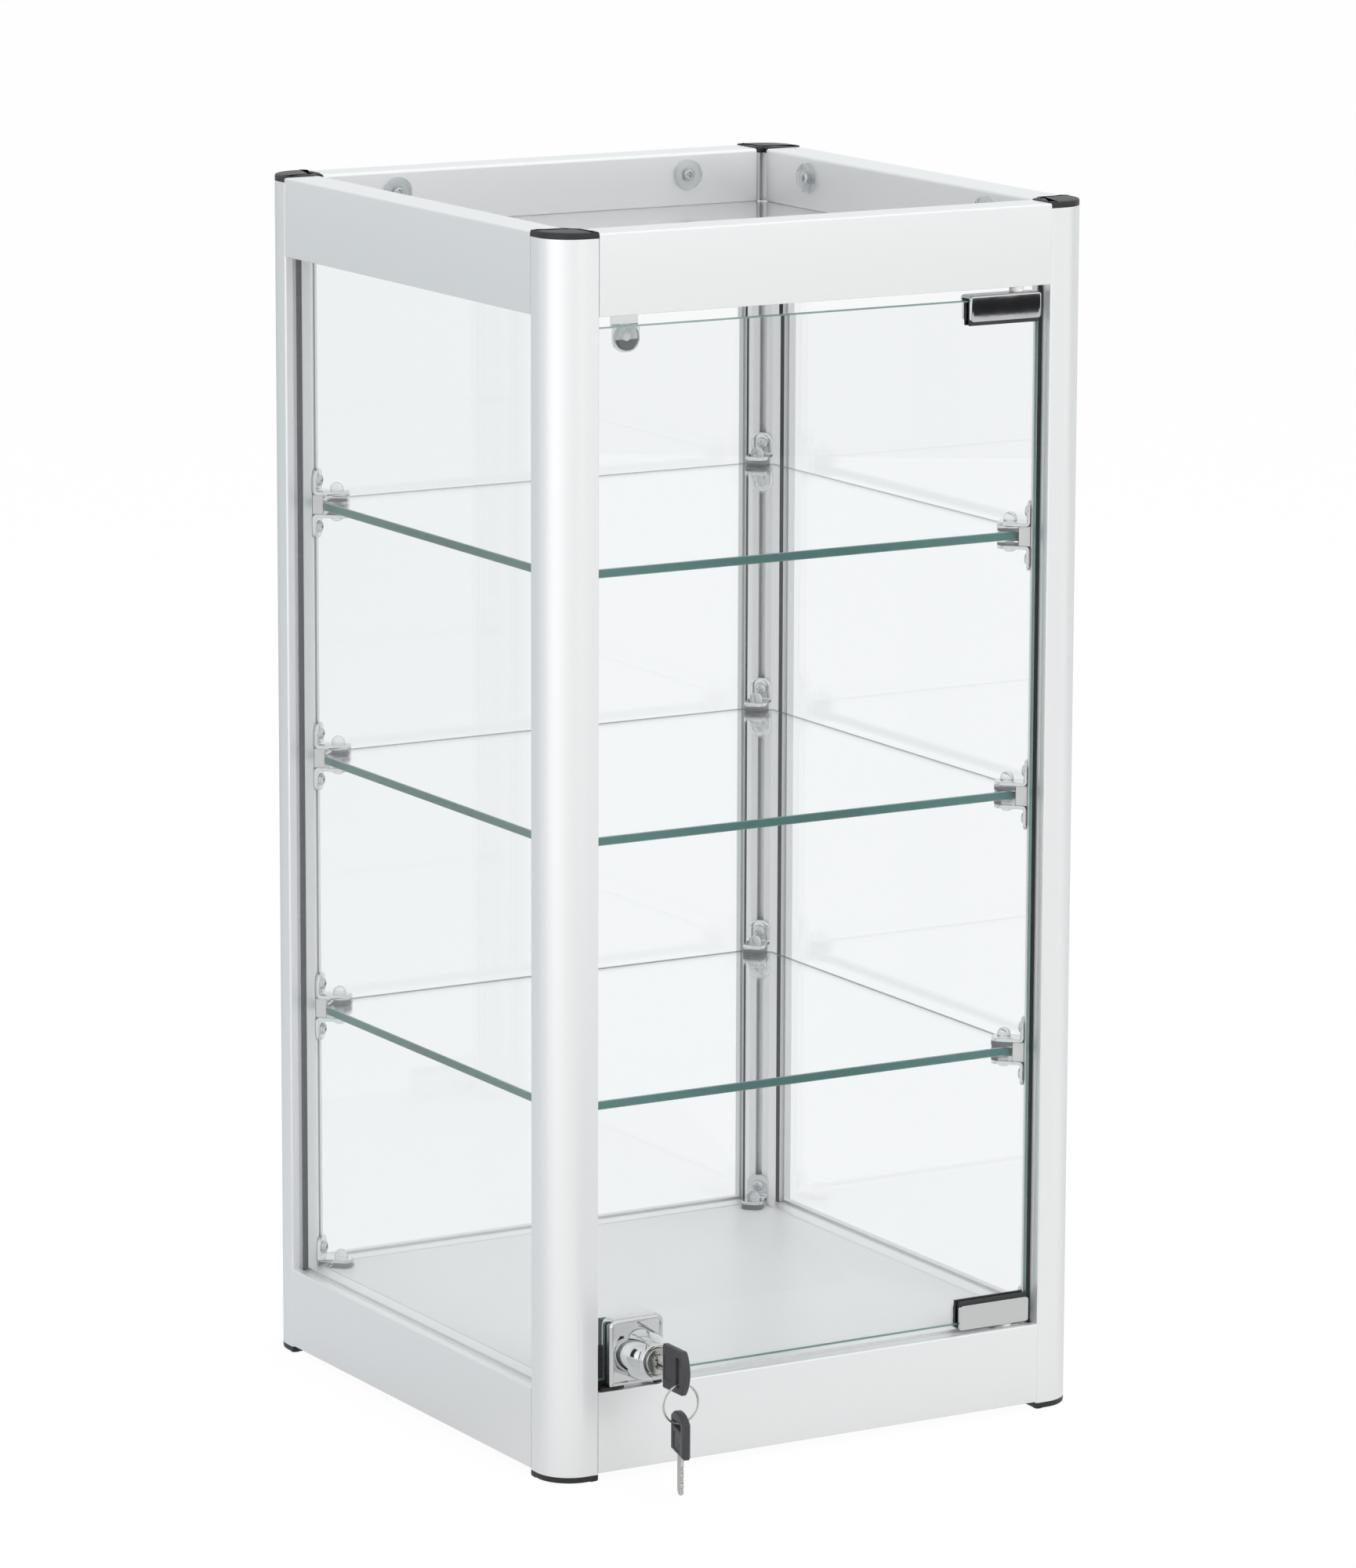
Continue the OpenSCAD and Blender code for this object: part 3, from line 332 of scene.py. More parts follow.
def grain(nodes, scale, detail, drawn=None):
    """Noise over the piece, drawn out into streaks where a scale for that is given."""
    spot = nodes.add("ShaderNodeTexCoord", output="Object")
    if drawn:
        spot = nodes.add("ShaderNodeMapping", {}, {"Vector": spot, "Scale": drawn})
    return nodes.add("ShaderNodeTexNoise", {}, {"Vector": spot, "Scale": scale, "Detail": detail})


def relief(nodes, height, strength, distance):
    return nodes.add("ShaderNodeBump", {},
                     {"Strength": strength, "Distance": distance, "Height": height})


def satin_anodised(nodes, along):
    """Blasted aluminium: fine even grain, with faint streaks along the extrusion."""
    streak = grain(nodes, 260, 3, along)
    return nodes.add("ShaderNodeBsdfPrincipled", {}, {
        "Base Color": (0.88, 0.885, 0.89, 1), "Metallic": 0.7, "Roughness": streak * 0.06 + 0.38,
        "Normal": relief(nodes, grain(nodes, 2600, 2) + streak * 0.4, 0.06, 0.0002)})


def on_slant(along, deep):
    """From along the slanting face and into it to the post's own two directions."""
    return slant_middle + (along - deep) * root_half, slant_middle - (along + deep) * root_half


def from_corner(sx, sy):
    """Places points given inwards from a corner of the case."""
    return lambda p: (sx * (half_width - p.x), sy * (half_depth - p.y) + middle, p.z)


upright_satin = finish("satin_anodised_upright", satin_anodised, along=(1, 1, 0.02))
groove_floor = post_side - groove_deep
post_corners = [
    (post_side, 0, 0.9), (0, 0, post_round), (0, post_side, 1.3),
    (groove_near, post_side, 0.3), (groove_near, groove_floor, 0),
    (groove_far, groove_floor, 0), (groove_far, post_side, 0.3), (slant_start, post_side, 0.8)]
for along, deep in [(-2, 0), (-2, 2), (-4, 2), (-4, 5.4), (4, 5.4), (4, 2), (2, 2), (2, 0)]:
    post_corners.append((*on_slant(along, deep), 0.3 if deep == 0 else 0))
post_corners += [
    (post_side, slant_start, 0.8), (post_side, groove_far, 0.3), (groove_floor, groove_far, 0),
    (groove_floor, groove_near, 0), (post_side, groove_near, 0.3)]
post_outline = rounded(post_corners, math.radians(4))
for corner, sx, sy in case_corners:
    loops = [[(p.x, p.y, z) for p in post_outline] for z in (post_low, post_high)]
    post = piece("extruded_post_" + corner, stacked(loops), upright_satin,
                 place=from_corner(sx, sy))
    dress(post, "case", "anodised_aluminium", "post_" + corner)

# Caps and feet: black moulded plastic with a fine spark-eroded grain and a softened rim,
# pushed with a peg into the round port of each post. One cap is made and set on every corner.

cap_high = 3.8
cap_levels = [(0.0, 0), (2.6, 0), (3.1, 0.12), (3.45, 0.45), (3.62, 0.95), (cap_high, 4.5)]


def moulded_black(nodes, colour=(0.014, 0.014, 0.015, 1), fineness=900, rough=0.42):
    fine = grain(nodes, fineness, 2)
    return nodes.add("ShaderNodeBsdfPrincipled", {}, {
        "Base Color": colour, "Roughness": fine * 0.2 + (rough - 0.1),
        "Normal": relief(nodes, fine, 0.25, 0.0003)})


def around_tree():
    """Sets a piece at equal turns around the case's upright middle, facing it."""
    tree = bpy.data.node_groups.new("around_the_case", "GeometryNodeTree")
    face = tree.interface
    face.new_socket("Geometry", in_out="OUTPUT", socket_type="NodeSocketGeometry")
    for name, kind in [("Piece", "Object"), ("Places", "Int"), ("Distance", "Float"),
                       ("First turn", "Float"), ("Centre", "Vector"), ("Finish", "Material")]:
        face.new_socket(name, in_out="INPUT", socket_type="NodeSocket" + kind)
    nodes = Nodes(tree)
    given = nodes.add("NodeGroupInput", output="Piece")
    index = nodes.add("GeometryNodeInputIndex")
    angle = index * (2 * math.pi) / given.other("Places") + given.other("First turn")
    across = nodes.add("ShaderNodeMath", {"operation": "COSINE"}, {0: angle})
    along = nodes.add("ShaderNodeMath", {"operation": "SINE"}, {0: angle})
    ring = nodes.add("ShaderNodeCombineXYZ", {}, {
        "X": across * given.other("Distance"), "Y": along * given.other("Distance")})
    spot = nodes.add("ShaderNodeVectorMath", {"operation": "ADD"},
                     {0: ring, 1: given.other("Centre")})
    points = nodes.add("GeometryNodePoints", {},
                       {"Count": given.other("Places"), "Position": spot})
    facing = nodes.add("ShaderNodeCombineXYZ", {}, {"Z": angle + math.pi})
    info = nodes.add("GeometryNodeObjectInfo", {"transform_space": "ORIGINAL"},
                     {"Object": given}, "Geometry")
    placed = nodes.add("GeometryNodeInstanceOnPoints", {},
                       {"Points": points, "Instance": info, "Rotation": facing})
    real = nodes.add("GeometryNodeRealizeInstances", {}, {"Geometry": placed})
    dressed = nodes.add("GeometryNodeSetMaterial", {},
                        {"Geometry": real, "Material": given.other("Finish")})
    nodes.add("NodeGroupOutput", {}, {"Geometry": dressed})
    return tree


def settled(made):
    """The object with its modifiers worked into its mesh."""
    bpy.context.view_layer.update()
    worked = made.evaluated_get(bpy.context.evaluated_depsgraph_get())
    data = bpy.data.meshes.new_from_object(worked)
    made.modifiers.clear()
    made.data = data
    return made


def set_around(name, master, distance, first, height, material):
    """One mesh of the master set four times around the case; the master itself stays."""
    made = in_scene(name, bpy.data.meshes.new(name))
    pattern = made.modifiers.new("around", "NODES")
    pattern.node_group = around_the_case
    values = {"Piece": master, "Places": 4, "Distance": distance * MM, "First turn": first,
              "Centre": (0, middle_y, height * MM), "Finish": material}
    for socket in around_the_case.interface.items_tree:
        if socket.in_out == "INPUT":
            pattern[socket.identifier] = values[socket.name]
    return settled(made)


def discard(*made):
    for one in made:
        bpy.data.objects.remove(one)


def inset(outline, amount):
    """The outline moved inwards by amount, corner by corner, whichever way it runs."""
    area = sum(p.cross(q) for p, q in zip(outline, outline[1:] + outline[:1]))
    inwards = -amount if area > 0 else amount
    moved = []
    for i, p in enumerate(outline):
        last, after = outline[i - 1], outline[(i + 1) % len(outline)]
        a, b = (p - last).normalized(), (after - p).normalized()
        normal = Vector((a.y + b.y, -a.x - b.x))
        grow = 1 + a.dot(b)
        moved.append(p + normal * (inwards / max(grow, 0.3)))
    return moved


def stepped(outline, levels, upright=lambda p, z: (p.x, p.y, z)):
    """A solid whose outline is drawn in by its own amount at each (height, amount) level."""
    return stacked([[upright(p, z) for p in inset(outline, amount)] for z, amount in levels])


def diagonal(p):
    """From a corner's own two directions to the line into the case and across it."""
    return ((p.x + p.y) * root_half, (p.y - p.x) * root_half, p.z)


black_plastic = finish("black_moulded_plastic", moulded_black)
around_the_case = around_tree()
corner_away = half_width * math.sqrt(2)
cap_corners = [(post_side, 0, 0.4), (0, 0, post_round), (0, post_side, 0.4),
               (slant_start, post_side, 0.6)]
cap_corners += [(*on_slant(along, deep), 0.2) for along, deep in [(-2, 0), (0, 2), (2, 0)]]
cap_corners.append((post_side, slant_start, 0.6))
cap_outline = rounded(cap_corners, math.radians(4))
cap = piece("one_cap", stepped(cap_outline, cap_levels), black_plastic, place=diagonal)
caps = set_around("moulded_caps", cap, corner_away, math.pi / 4, post_high, black_plastic)
dress(caps, "case", "black_plastic", "post_caps")
foot_levels = [(cap_high - z, amount) for z, amount in reversed(cap_levels)]
foot = piece("one_foot", stepped(cap_outline, foot_levels), black_plastic, place=diagonal)
feet = set_around("moulded_feet", foot, corner_away, math.pi / 4, 0, black_plastic)
dress(feet, "case", "black_plastic", "post_feet")
discard(cap, foot)

# Rails: four hollow lengths above and four below, of the same satin aluminium. Their ends butt
# on the posts, a steel bar inside each end ties them, and a groove takes the pane. The top
# rails have a slot for the tray glass, the bottom rails a ledge under the floor panel.

rail_thick = 24
top_low, top_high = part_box("top_rail_front")[0].z / MM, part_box("top_rail_front")[1].z / MM
base_low, base_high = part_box("bottom_rail_front")[0].z / MM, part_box("bottom_rail_front")[1].z / MM
slot_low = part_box("tray_glass")[0].z / MM
slot_high, slot_floor = slot_low + 5.1, rail_thick - 1
ledge_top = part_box("floor_panel")[0].z / MM
ledge_low, ledge_back, ledge_front, ledge_apart = ledge_top - 3, 23, 32, 8


def from_side(i):
    """Places points given along a side, inwards from its face, and up."""
    turn = Matrix.Rotation(math.pi / 2 * i, 3, "Z")
    away = half_depth if i % 2 == 0 else half_width

    def moved(p):
        q = turn @ Vector((p[0], p[1] - away, p[2]))
        return (q.x, q.y + middle, q.z)
    return moved


def joined(mesh, *others):
    """The bmesh with the others added to it."""
    for other in others:
        spare = bpy.data.meshes.new("part")
        other.to_mesh(spare)
        other.free()
        mesh.from_mesh(spare)
        bpy.data.meshes.remove(spare)
    return mesh


def drawn_out(outline, reach):
    """A bar of that section from -reach to reach along the first axis."""
    return stacked([[(x, p.x, p.y) for p in outline] for x in (-reach, reach)])


def zinc_plate(nodes):
    cloud = grain(nodes, 400, 3)
    return nodes.add("ShaderNodeBsdfPrincipled", {}, {
        "Base Color": (0.62, 0.63, 0.64, 1), "Metallic": 1.0, "Roughness": cloud * 0.16 + 0.16})


def repaint(node, material):
    """Gives a CAD node that stays in view its finish."""
    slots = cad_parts[node].data.materials
    if len(slots) == 0:
        slots.append(material)
    for k in range(len(slots)):
        slots[k] = material


across_satin = finish("satin_anodised_across", satin_anodised, along=(0.02, 1, 1))
inward_satin = finish("satin_anodised_inward", satin_anodised, along=(1, 0.02, 1))
top_outline = rounded([
    (0, top_low, 0.5), (groove_near, top_low, 0.3), (groove_near, top_low + groove_deep, 0),
    (groove_far, top_low + groove_deep, 0), (groove_far, top_low, 0.3), (rail_thick, top_low, 0.5),
    (rail_thick, slot_low, 0.2), (slot_floor, slot_low, 0), (slot_floor, slot_high, 0),
    (rail_thick, slot_high, 0.2), (rail_thick, top_high, 2), (0, top_high, 1.1)])
base_outline = rounded([
    (0, base_low, 0.5), (rail_thick, base_low, 0.5), (rail_thick, base_high, 1.2),
    (groove_far, base_high, 0.4), (groove_far, base_high - groove_deep, 0),
    (groove_near, base_high - groove_deep, 0), (groove_near, base_high, 0.4), (0, base_high, 1)])
ledge_outline = rounded([(ledge_back, ledge_low, 0), (ledge_front, ledge_low, 0.4),
                         (ledge_front, ledge_top, 0.4), (ledge_back, ledge_top, 0)])
for i, side in enumerate(["front", "right", "back", "left"]):
    lengthwise = i % 2 == 0
    half = (half_width if lengthwise else half_depth) - post_side
    satin = across_satin if lengthwise else inward_satin
    ledge_half = half if lengthwise else half - (ledge_front - post_side) - ledge_apart
    for name, rail in [
            ("top_rail_", drawn_out(top_outline, half)),
            ("bottom_rail_", joined(drawn_out(base_outline, half),
                                    drawn_out(ledge_outline, ledge_half)))]:
        made = piece("extruded_" + name + side, rail, satin, place=from_side(i))
        dress(made, "case", "anodised_aluminium", name + side)
zinc = finish("zinc_plated_steel", zinc_plate)
repaint("rail_connectors", zinc)

# Panes: three fixed panes of 5 mm float glass in the grooves, held by a gasket behind each, and the
# sunk glass top that slides into the top rails' slots. Black strips in the post grooves beside the
# panes are painted shade.


def clear_pane(nodes, tint=(0.965, 0.975, 0.978, 1)):
    return nodes.add("ShaderNodeBsdfPrincipled", {}, {
        "Base Color": tint, "Roughness": 0.0, "IOR": 1.45, "Transmission Weight": 1.0})


def rubber(nodes):
    return nodes.add("ShaderNodeBsdfPrincipled", {}, {
        "Base Color": (0.03, 0.032, 0.034, 1), "Roughness": grain(nodes, 500, 2) * 0.2 + 0.55})


float_glass = finish("clear_float_pane", clear_pane)
black_rubber = finish("black_gasket_rubber", rubber)
for name in ("glass_left", "glass_right", "glass_back", "tray_glass"):
    repaint(name, float_glass)
    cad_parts[name].visible_shadow = False
repaint("pane_gaskets", black_rubber)
# Painted shade: black strips between each pane and the inner wall of the post grooves, at the posts
# alone.
shade_strip_section = [(10.9, groove_floor), (groove_far, groove_floor), (groove_far, 28.1), (11.4, 28.2)]
shade_strip_ends = (post_low + 1, post_high - 1)
for corner, sx, sy in case_corners:
    strips = joined(stacked([[(x, y, z) for x, y in shade_strip_section] for z in shade_strip_ends]),
                    stacked([[(y, x, z) for x, y in reversed(shade_strip_section)] for z in shade_strip_ends]))
    shade_strip = piece("gasket_lips_" + corner, strips, black_rubber, place=from_corner(sx, sy))
    dress(shade_strip, "case", "black_gasket")

# Floor panel: a board faced with a smooth white laminate. It lies on the ledges of the bottom
# rails, and the lowest clamps at the posts hold it down.


def white_laminate(nodes):
    pore = grain(nodes, 700, 3)
    return nodes.add("ShaderNodeBsdfPrincipled", {}, {
        "Base Color": (0.78, 0.80, 0.795, 1), "Roughness": pore * 0.1 + 0.3,
        "Normal": relief(nodes, pore, 0.05, 0.0002)})


repaint("floor_panel", finish("white_laminate", white_laminate))

# Tray discs and screws: eight discs of clear soft vinyl on the top rails' inner faces, each
# held by a zinc-plated pan-head screw with a cross recess. Such screws also hold the door
# stop and the legs of the chrome brackets.

disc_apart, disc_screw_seat = 100, 1.9
stop_thick, stop_screw_in = 1.8, 19.6
disc_profile = [(0, 0), (0, 8.7), (0.3, 9.1), (1.2, 9.2), (2.4, 9.1), (3.0, 8.7), (3.3, 8.0),
                (3.3, 6.6), (2.9, 6.1), (2.9, 5.4), (3.3, 4.9), (3.3, 4.2), (2.2, 3.75), (2.0, 0)]


def centre_of(node):
    """The middle of a CAD node's box, in millimetres."""
    return [(low + high) / 2 / MM for low, high in zip(*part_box(node))]


def lathed(profile, sides=32):
    """A solid of revolution about the first axis from (along, radius) points."""
    mesh = bmesh.new()
    rings = []
    for along, radius in profile:
        if radius == 0:
            rings.append([mesh.verts.new((along, 0, 0))])
        else:
            rings.append([mesh.verts.new((along, radius * math.cos(2 * math.pi * k / sides),
                                          radius * math.sin(2 * math.pi * k / sides)))
                          for k in range(sides)])
    for low, high in zip(rings, rings[1:]):
        for a in range(sides):
            b = (a + 1) % sides
            corners = [low[a % len(low)], low[b % len(low)], high[b % len(high)], high[a % len(high)]]
            kept = [v for k, v in enumerate(corners) if v not in corners[:k]]
            if len(kept) > 2:
                mesh.faces.new(kept)
    for ring in (rings[0], rings[-1]):
        if len(ring) > 1:
            mesh.faces.new(ring)
    return mesh


def block(x0, y0, z0, x1, y1, z1):
    return stacked([[(x0, y0, z), (x1, y0, z), (x1, y1, z), (x0, y1, z)] for z in (z0, z1)])


def cut_out(made, label, hollow):
    """The piece with the hollow's shape cut out of it."""
    cutter = piece(label, hollow, made.data.materials[0])
    cut = made.modifiers.new(label, "BOOLEAN")
    cut.operation, cut.object, cut.solver, cut.use_self = "DIFFERENCE", cutter, "EXACT", True
    settled(made)
    discard(cutter)
    return made


def cross_screw(name, radius, height, length, shank):
    """A pan-head screw along the first axis: head outwards from 0, shank behind."""
    crown = [(height * math.sin(t), radius - height * 0.9 * (1 - math.cos(t)))
             for t in (0, 0.3, 0.6, 0.9, 1.2, math.pi / 2)]
    profile = [(-length, 0), (-length, shank), (0, shank), (0, radius - 0.1)] + crown + [(height, 0)]
    reach, half, floor, above = radius * 0.56, radius * 0.13, height * 0.3, height + 1
    return cut_out(piece(name, lathed(profile), zinc), "recess", joined(
        block(floor, -reach, -half, above, reach, half),
        block(floor, -half, -reach, above, half, reach)))


def pair(name, master, out, apart):
    """The master's mesh twice, apart to each side and out by some millimetres; the master goes."""
    mesh = bmesh.new()
    for y in (-apart, apart):
        start = len(mesh.verts)
        mesh.from_mesh(master.data)
        mesh.verts.ensure_lookup_table()
        bmesh.ops.translate(mesh, verts=mesh.verts[start:], vec=Vector((out, y, 0)) * MM)
    made = piece(name, mesh, master.data.materials[0], scale=1)
    discard(master)
    return made


def clear_vinyl(nodes):
    wave = grain(nodes, 220, 2)
    return nodes.add("ShaderNodeBsdfPrincipled", {}, {
        "Base Color": (0.93, 0.965, 0.975, 1), "Roughness": wave * 0.06 + 0.12, "IOR": 1.25,
        "Transmission Weight": 0.85, "Normal": relief(nodes, wave, 0.15, 0.0004)})


vinyl = finish("clear_soft_vinyl", clear_vinyl)
rail_face, disc_high = half_width - rail_thick, centre_of("tray_discs")[2]
disc = pair("disc_pair", piece("one_disc", lathed(disc_profile, 48), vinyl), 0, disc_apart)
discs = set_around("clear_tray_discs", disc, rail_face, 0, disc_high, vinyl)
dress(discs, "case", "clear_vinyl", "tray_discs")
disc_screw = cross_screw("disc_screw", radius=3.4, height=1.4, length=3.6, shank=1.5)
disc_screw = pair("disc_screw_pair", disc_screw, disc_screw_seat, disc_apart)
disc_screws = set_around("disc_screws", disc_screw, rail_face, 0, disc_high, zinc)
discard(disc, disc_screw)

stop_x = centre_of("stop_bracket")[0]
stop_screw = cross_screw("door_stop_screw", radius=2.7, height=1.5, length=6, shank=1.4)
stop_screw.data.transform(Matrix.Rotation(math.pi / 2, 4, "Y"))
stop_screw.data.transform(Matrix.Translation(
    (stop_x * MM, front_left[0].y + stop_screw_in * MM, (top_low - stop_thick) * MM)))
dress(stop_screw, "case", "zinc_steel")
dress(disc_screws, "case", "zinc_steel", "top_rail_screws")

# Shelf clamps: at each post two bent chrome brackets hold the shelf between clear vinyl
# pads, with a white spacer block between the brackets. A screw through each bracket's leg
# grips a square nut in the post's slot. The floor panel is held by the upper half alone.

pad_thick, pad_from, pad_to, pad_half = 3.2, 7.1, 20.7, 6.8
knob_x, knob_round, stem_round = 13.5, 4.0, 3.0
bracket_thick, screw_seat, screw_z = 2, 2.3, 8.25
face_away = half_width * math.sqrt(2) - slant_middle * math.sqrt(2)
shelf_thick = (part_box("shelf_1_glass")[1].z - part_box("shelf_1_glass")[0].z) / MM
floor_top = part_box("floor_panel")[1].z / MM


def softened(made, amount, steps=2, angle=40):
    """Rounds the piece's edges by amount millimetres."""
    bevel = made.modifiers.new("edges", "BEVEL")
    bevel.width, bevel.segments = amount * MM, steps
    bevel.limit_method, bevel.angle_limit = "ANGLE", math.radians(angle)
    bevel.harden_normals = True
    return settled(made)


def bent_strip(path, widths, thick):
    """Sheet metal along a path of (x, z) points, with a half width at each."""
    loops = []
    for i, (point, half) in enumerate(zip(path, widths)):
        before, after = path[max(i - 1, 0)], path[min(i + 1, len(path) - 1)]
        run = Vector((after[0] - before[0], after[1] - before[1])).normalized()
        n = Vector((-run.y, run.x)) * thick / 2
        loops.append([(point[0] + s * n.x, y, point[1] + s * n.y)
                      for s, y in ((1, -half), (1, half), (-1, half), (-1, -half))])
    return stacked(loops)


def angle_bracket(reach, leg, half, arm_round, leg_round, thick, gap, bend):
    """Arm from (reach, 0) to the bend at the post, then the leg up to its rounded top."""
    def end(radius):
        quarter = [math.pi / 2 * k / 7 for k in range(8)]
        return [(radius * (1 - math.cos(t)), half - radius + radius * math.sin(t)) for t in quarter]

    mid = gap + thick / 2
    stations = [((reach - away, thick / 2), wide) for away, wide in end(arm_round)]
    for k in range(6):
        t = math.pi / 2 * k / 5
        stations.append(((mid + bend - bend * math.sin(t),
                          thick / 2 + bend - bend * math.cos(t)), half))
    stations += [((mid, thick + leg - away), wide) for away, wide in reversed(end(leg_round))]
    return bent_strip([spot for spot, _ in stations], [wide for _, wide in stations], thick)


def chrome_plate(nodes):
    wave = grain(nodes, 90, 2)
    return nodes.add("ShaderNodeBsdfPrincipled", {}, {
        "Base Color": (0.68, 0.69, 0.695, 1), "Metallic": 1.0, "Roughness": wave * 0.04 + 0.05,
        "Normal": relief(nodes, wave, 0.08, 0.0004)})


def moulded_nylon(nodes):
    return nodes.add("ShaderNodeBsdfPrincipled", {}, {
        "Base Color": (0.90, 0.90, 0.88, 1), "Roughness": grain(nodes, 300, 2) * 0.1 + 0.4,
        "Subsurface Weight": 0.1, "Subsurface Radius": (0.002, 0.002, 0.002)})


def grommet(name, knob_high):
    """The pad under a bracket's arm, its stem through the arm, and its round knob."""
    base, dome = pad_thick + bracket_thick, min(knob_high, knob_round)
    profile = [(2.0, 0), (2.0, stem_round), (base, stem_round), (base, knob_round - 0.2),
               (base + 0.2, knob_round)]
    for t in [math.pi / 2 * k / 8 for k in range(8)]:
        rise = knob_high - dome + dome * math.sin(t)
        if rise > 0.2:
            profile.append((base + rise, knob_round * math.cos(t)))
    knob = lathed(profile + [(base + knob_high, 0)], 24)
    bmesh.ops.rotate(knob, verts=knob.verts, matrix=Matrix.Rotation(-math.pi / 2, 3, "Y"))
    bmesh.ops.translate(knob, verts=knob.verts, vec=(knob_x, 0, 0))
    outline = rounded([(pad_from, -pad_half, 0.5), (pad_to, -pad_half, 4.5),
                       (pad_to, pad_half, 4.5), (pad_from, pad_half, 0.5)])
    rim = [(0, 0.4), (0.12, 0.12), (0.4, 0)]
    levels = rim + [(pad_thick - z, amount) for z, amount in reversed(rim)]
    return piece(name, joined(stepped(outline, levels), knob), vinyl)


def merged(name, *data):
    """One piece of several finished meshes of the same material."""
    mesh = bmesh.new()
    for one in data:
        mesh.from_mesh(one)
    return piece(name, mesh, data[0].materials[0], scale=1)


def turned_over(made):
    """The piece's mesh mirrored top to bottom about the middle of the shelf's thickness."""
    data = made.data.copy()
    data.transform(Matrix.Translation((0, 0, -shelf_thick * MM)) @ Matrix.Scale(-1, 4, (0, 0, 1)))
    data.flip_normals()
    return data


chrome = finish("polished_chrome", chrome_plate)
nylon = finish("white_nylon", moulded_nylon)
bracket = softened(piece("one_bracket", angle_bracket(
    reach=20.5, leg=13, half=6.75, arm_round=4.5, leg_round=5.4, thick=bracket_thick, gap=0.3,
    bend=1.7), chrome, place=lambda p: (p.x, p.y, p.z + pad_thick)), 0.35)
pad_above, pad_below = grommet("pad_above", 5.5), grommet("pad_below", 2.6)
bare_screw = cross_screw("bracket_screw", radius=3.75, height=2.2, length=6.9, shank=1.5)
nut = piece("slot_nut", block(-7.2, -3.6, -4.5, -4.6, 3.6, 4.5), zinc)
screw = merged("screw_and_nut", bare_screw.data, nut.data)
screw.data.transform(Matrix.Translation((screw_seat * MM, 0, (pad_thick + screw_z) * MM)))
brackets = merged("bracket_pair", bracket.data, turned_over(bracket))
pads = merged("pad_pair", pad_above.data, turned_over(pad_below))
screws = merged("screw_pair", screw.data, turned_over(screw))
spacer = softened(piece("spacer", block(
    0.3, -6.25, -shelf_thick - pad_thick, 7, 6.25, pad_thick), nylon), 0.4)
for n in (1, 2, 3):
    body = f"shelf_{n}"
    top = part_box(body + "_glass")[1].z / MM
    for what, master, material, slot in [
            ("brackets", brackets, chrome, "chrome"), ("pads", pads, vinyl, "clear_vinyl"),
            ("spacers", spacer, nylon, "white_nylon"), ("screws", screws, zinc, "zinc_steel")]:
        made = set_around(f"clamp_{what}_{n}", master, face_away, math.pi / 4, top, material)
        dress(made, body, slot, f"{body}_{what}")
for what, master, material, slot in [
        ("brackets", bracket, chrome, "chrome"), ("pads", pad_above, vinyl, "clear_vinyl"),
        ("screws", screw, zinc, "zinc_steel")]:
    made = set_around("floor_clamp_" + what, master, face_away, math.pi / 4, floor_top, material)
    dress(made, "case", slot, "floor_" + what)
discard(brackets, pads, screws, spacer, bracket, pad_above, pad_below, screw, bare_screw, nut)

# Shelves: plates of 5 mm float glass with ground and polished edges, their corners cut off
# before the clamps. Along the plate the glass is green, across it nearly colourless; the rims
# carry painted shading and their chamfers a painted highlight.

corner_reach, clamp_clear = 0.155, 8


def painted_shade_glass_edge(nodes, deep, pale):
    """The ground edge of green glass, with painted shading: darker towards the middle of each edge,
    paler towards the corners.
    """
    spot = nodes.add("ShaderNodeTexCoord", output="Object")
    x = nodes.add("ShaderNodeSeparateXYZ", {}, {0: spot})
    across = nodes.add("ShaderNodeMath", {"operation": "ABSOLUTE"}, {0: x})
    along = nodes.add("ShaderNodeMath", {"operation": "ABSOLUTE"}, {0: x.other("Y") - middle_y})
    out = nodes.add("ShaderNodeMath", {"operation": "MINIMUM"}, {0: across, 1: along})
    cloud = grain(nodes, 60, 3)
    # Painted shading: the rim's tone runs from deep at the middle of each edge to pale at the corners.
    tone = nodes.add("ShaderNodeValToRGB", {"stops": [(0.2, deep), (1.0, pale)]},
                     {0: out / corner_reach + cloud * 0.2 - 0.1})
    return nodes.add("ShaderNodeBsdfPrincipled", {}, {
        "Base Color": tone, "Roughness": cloud * 0.1 + 0.12, "Specular IOR Level": 0.2})


def plate(name, corners, low, high, arris, material, **turned):
    """A glass plate from low to high with its edges chamfered by a small arris."""
    levels = [(low, arris), (low + arris, 0), (high - arris, 0), (high, arris)]
    return piece(name, stepped([Vector(c) for c in corners], levels, **turned), material, crease=20)


def edged(made, face_axis, edge):
    """Gives a plate's rim its edge finish and its small chamfers a paler finish that is a painted
    highlight.
    """
    made.visible_shadow = False
    made.data.materials.append(edge)
    made.data.materials.append(arris_painted_highlight)
    for face in made.data.polygons:
        square = abs(face.normal[face_axis])
        face.material_index = 0 if square > 0.9 else 2 if square > 0.3 else 1


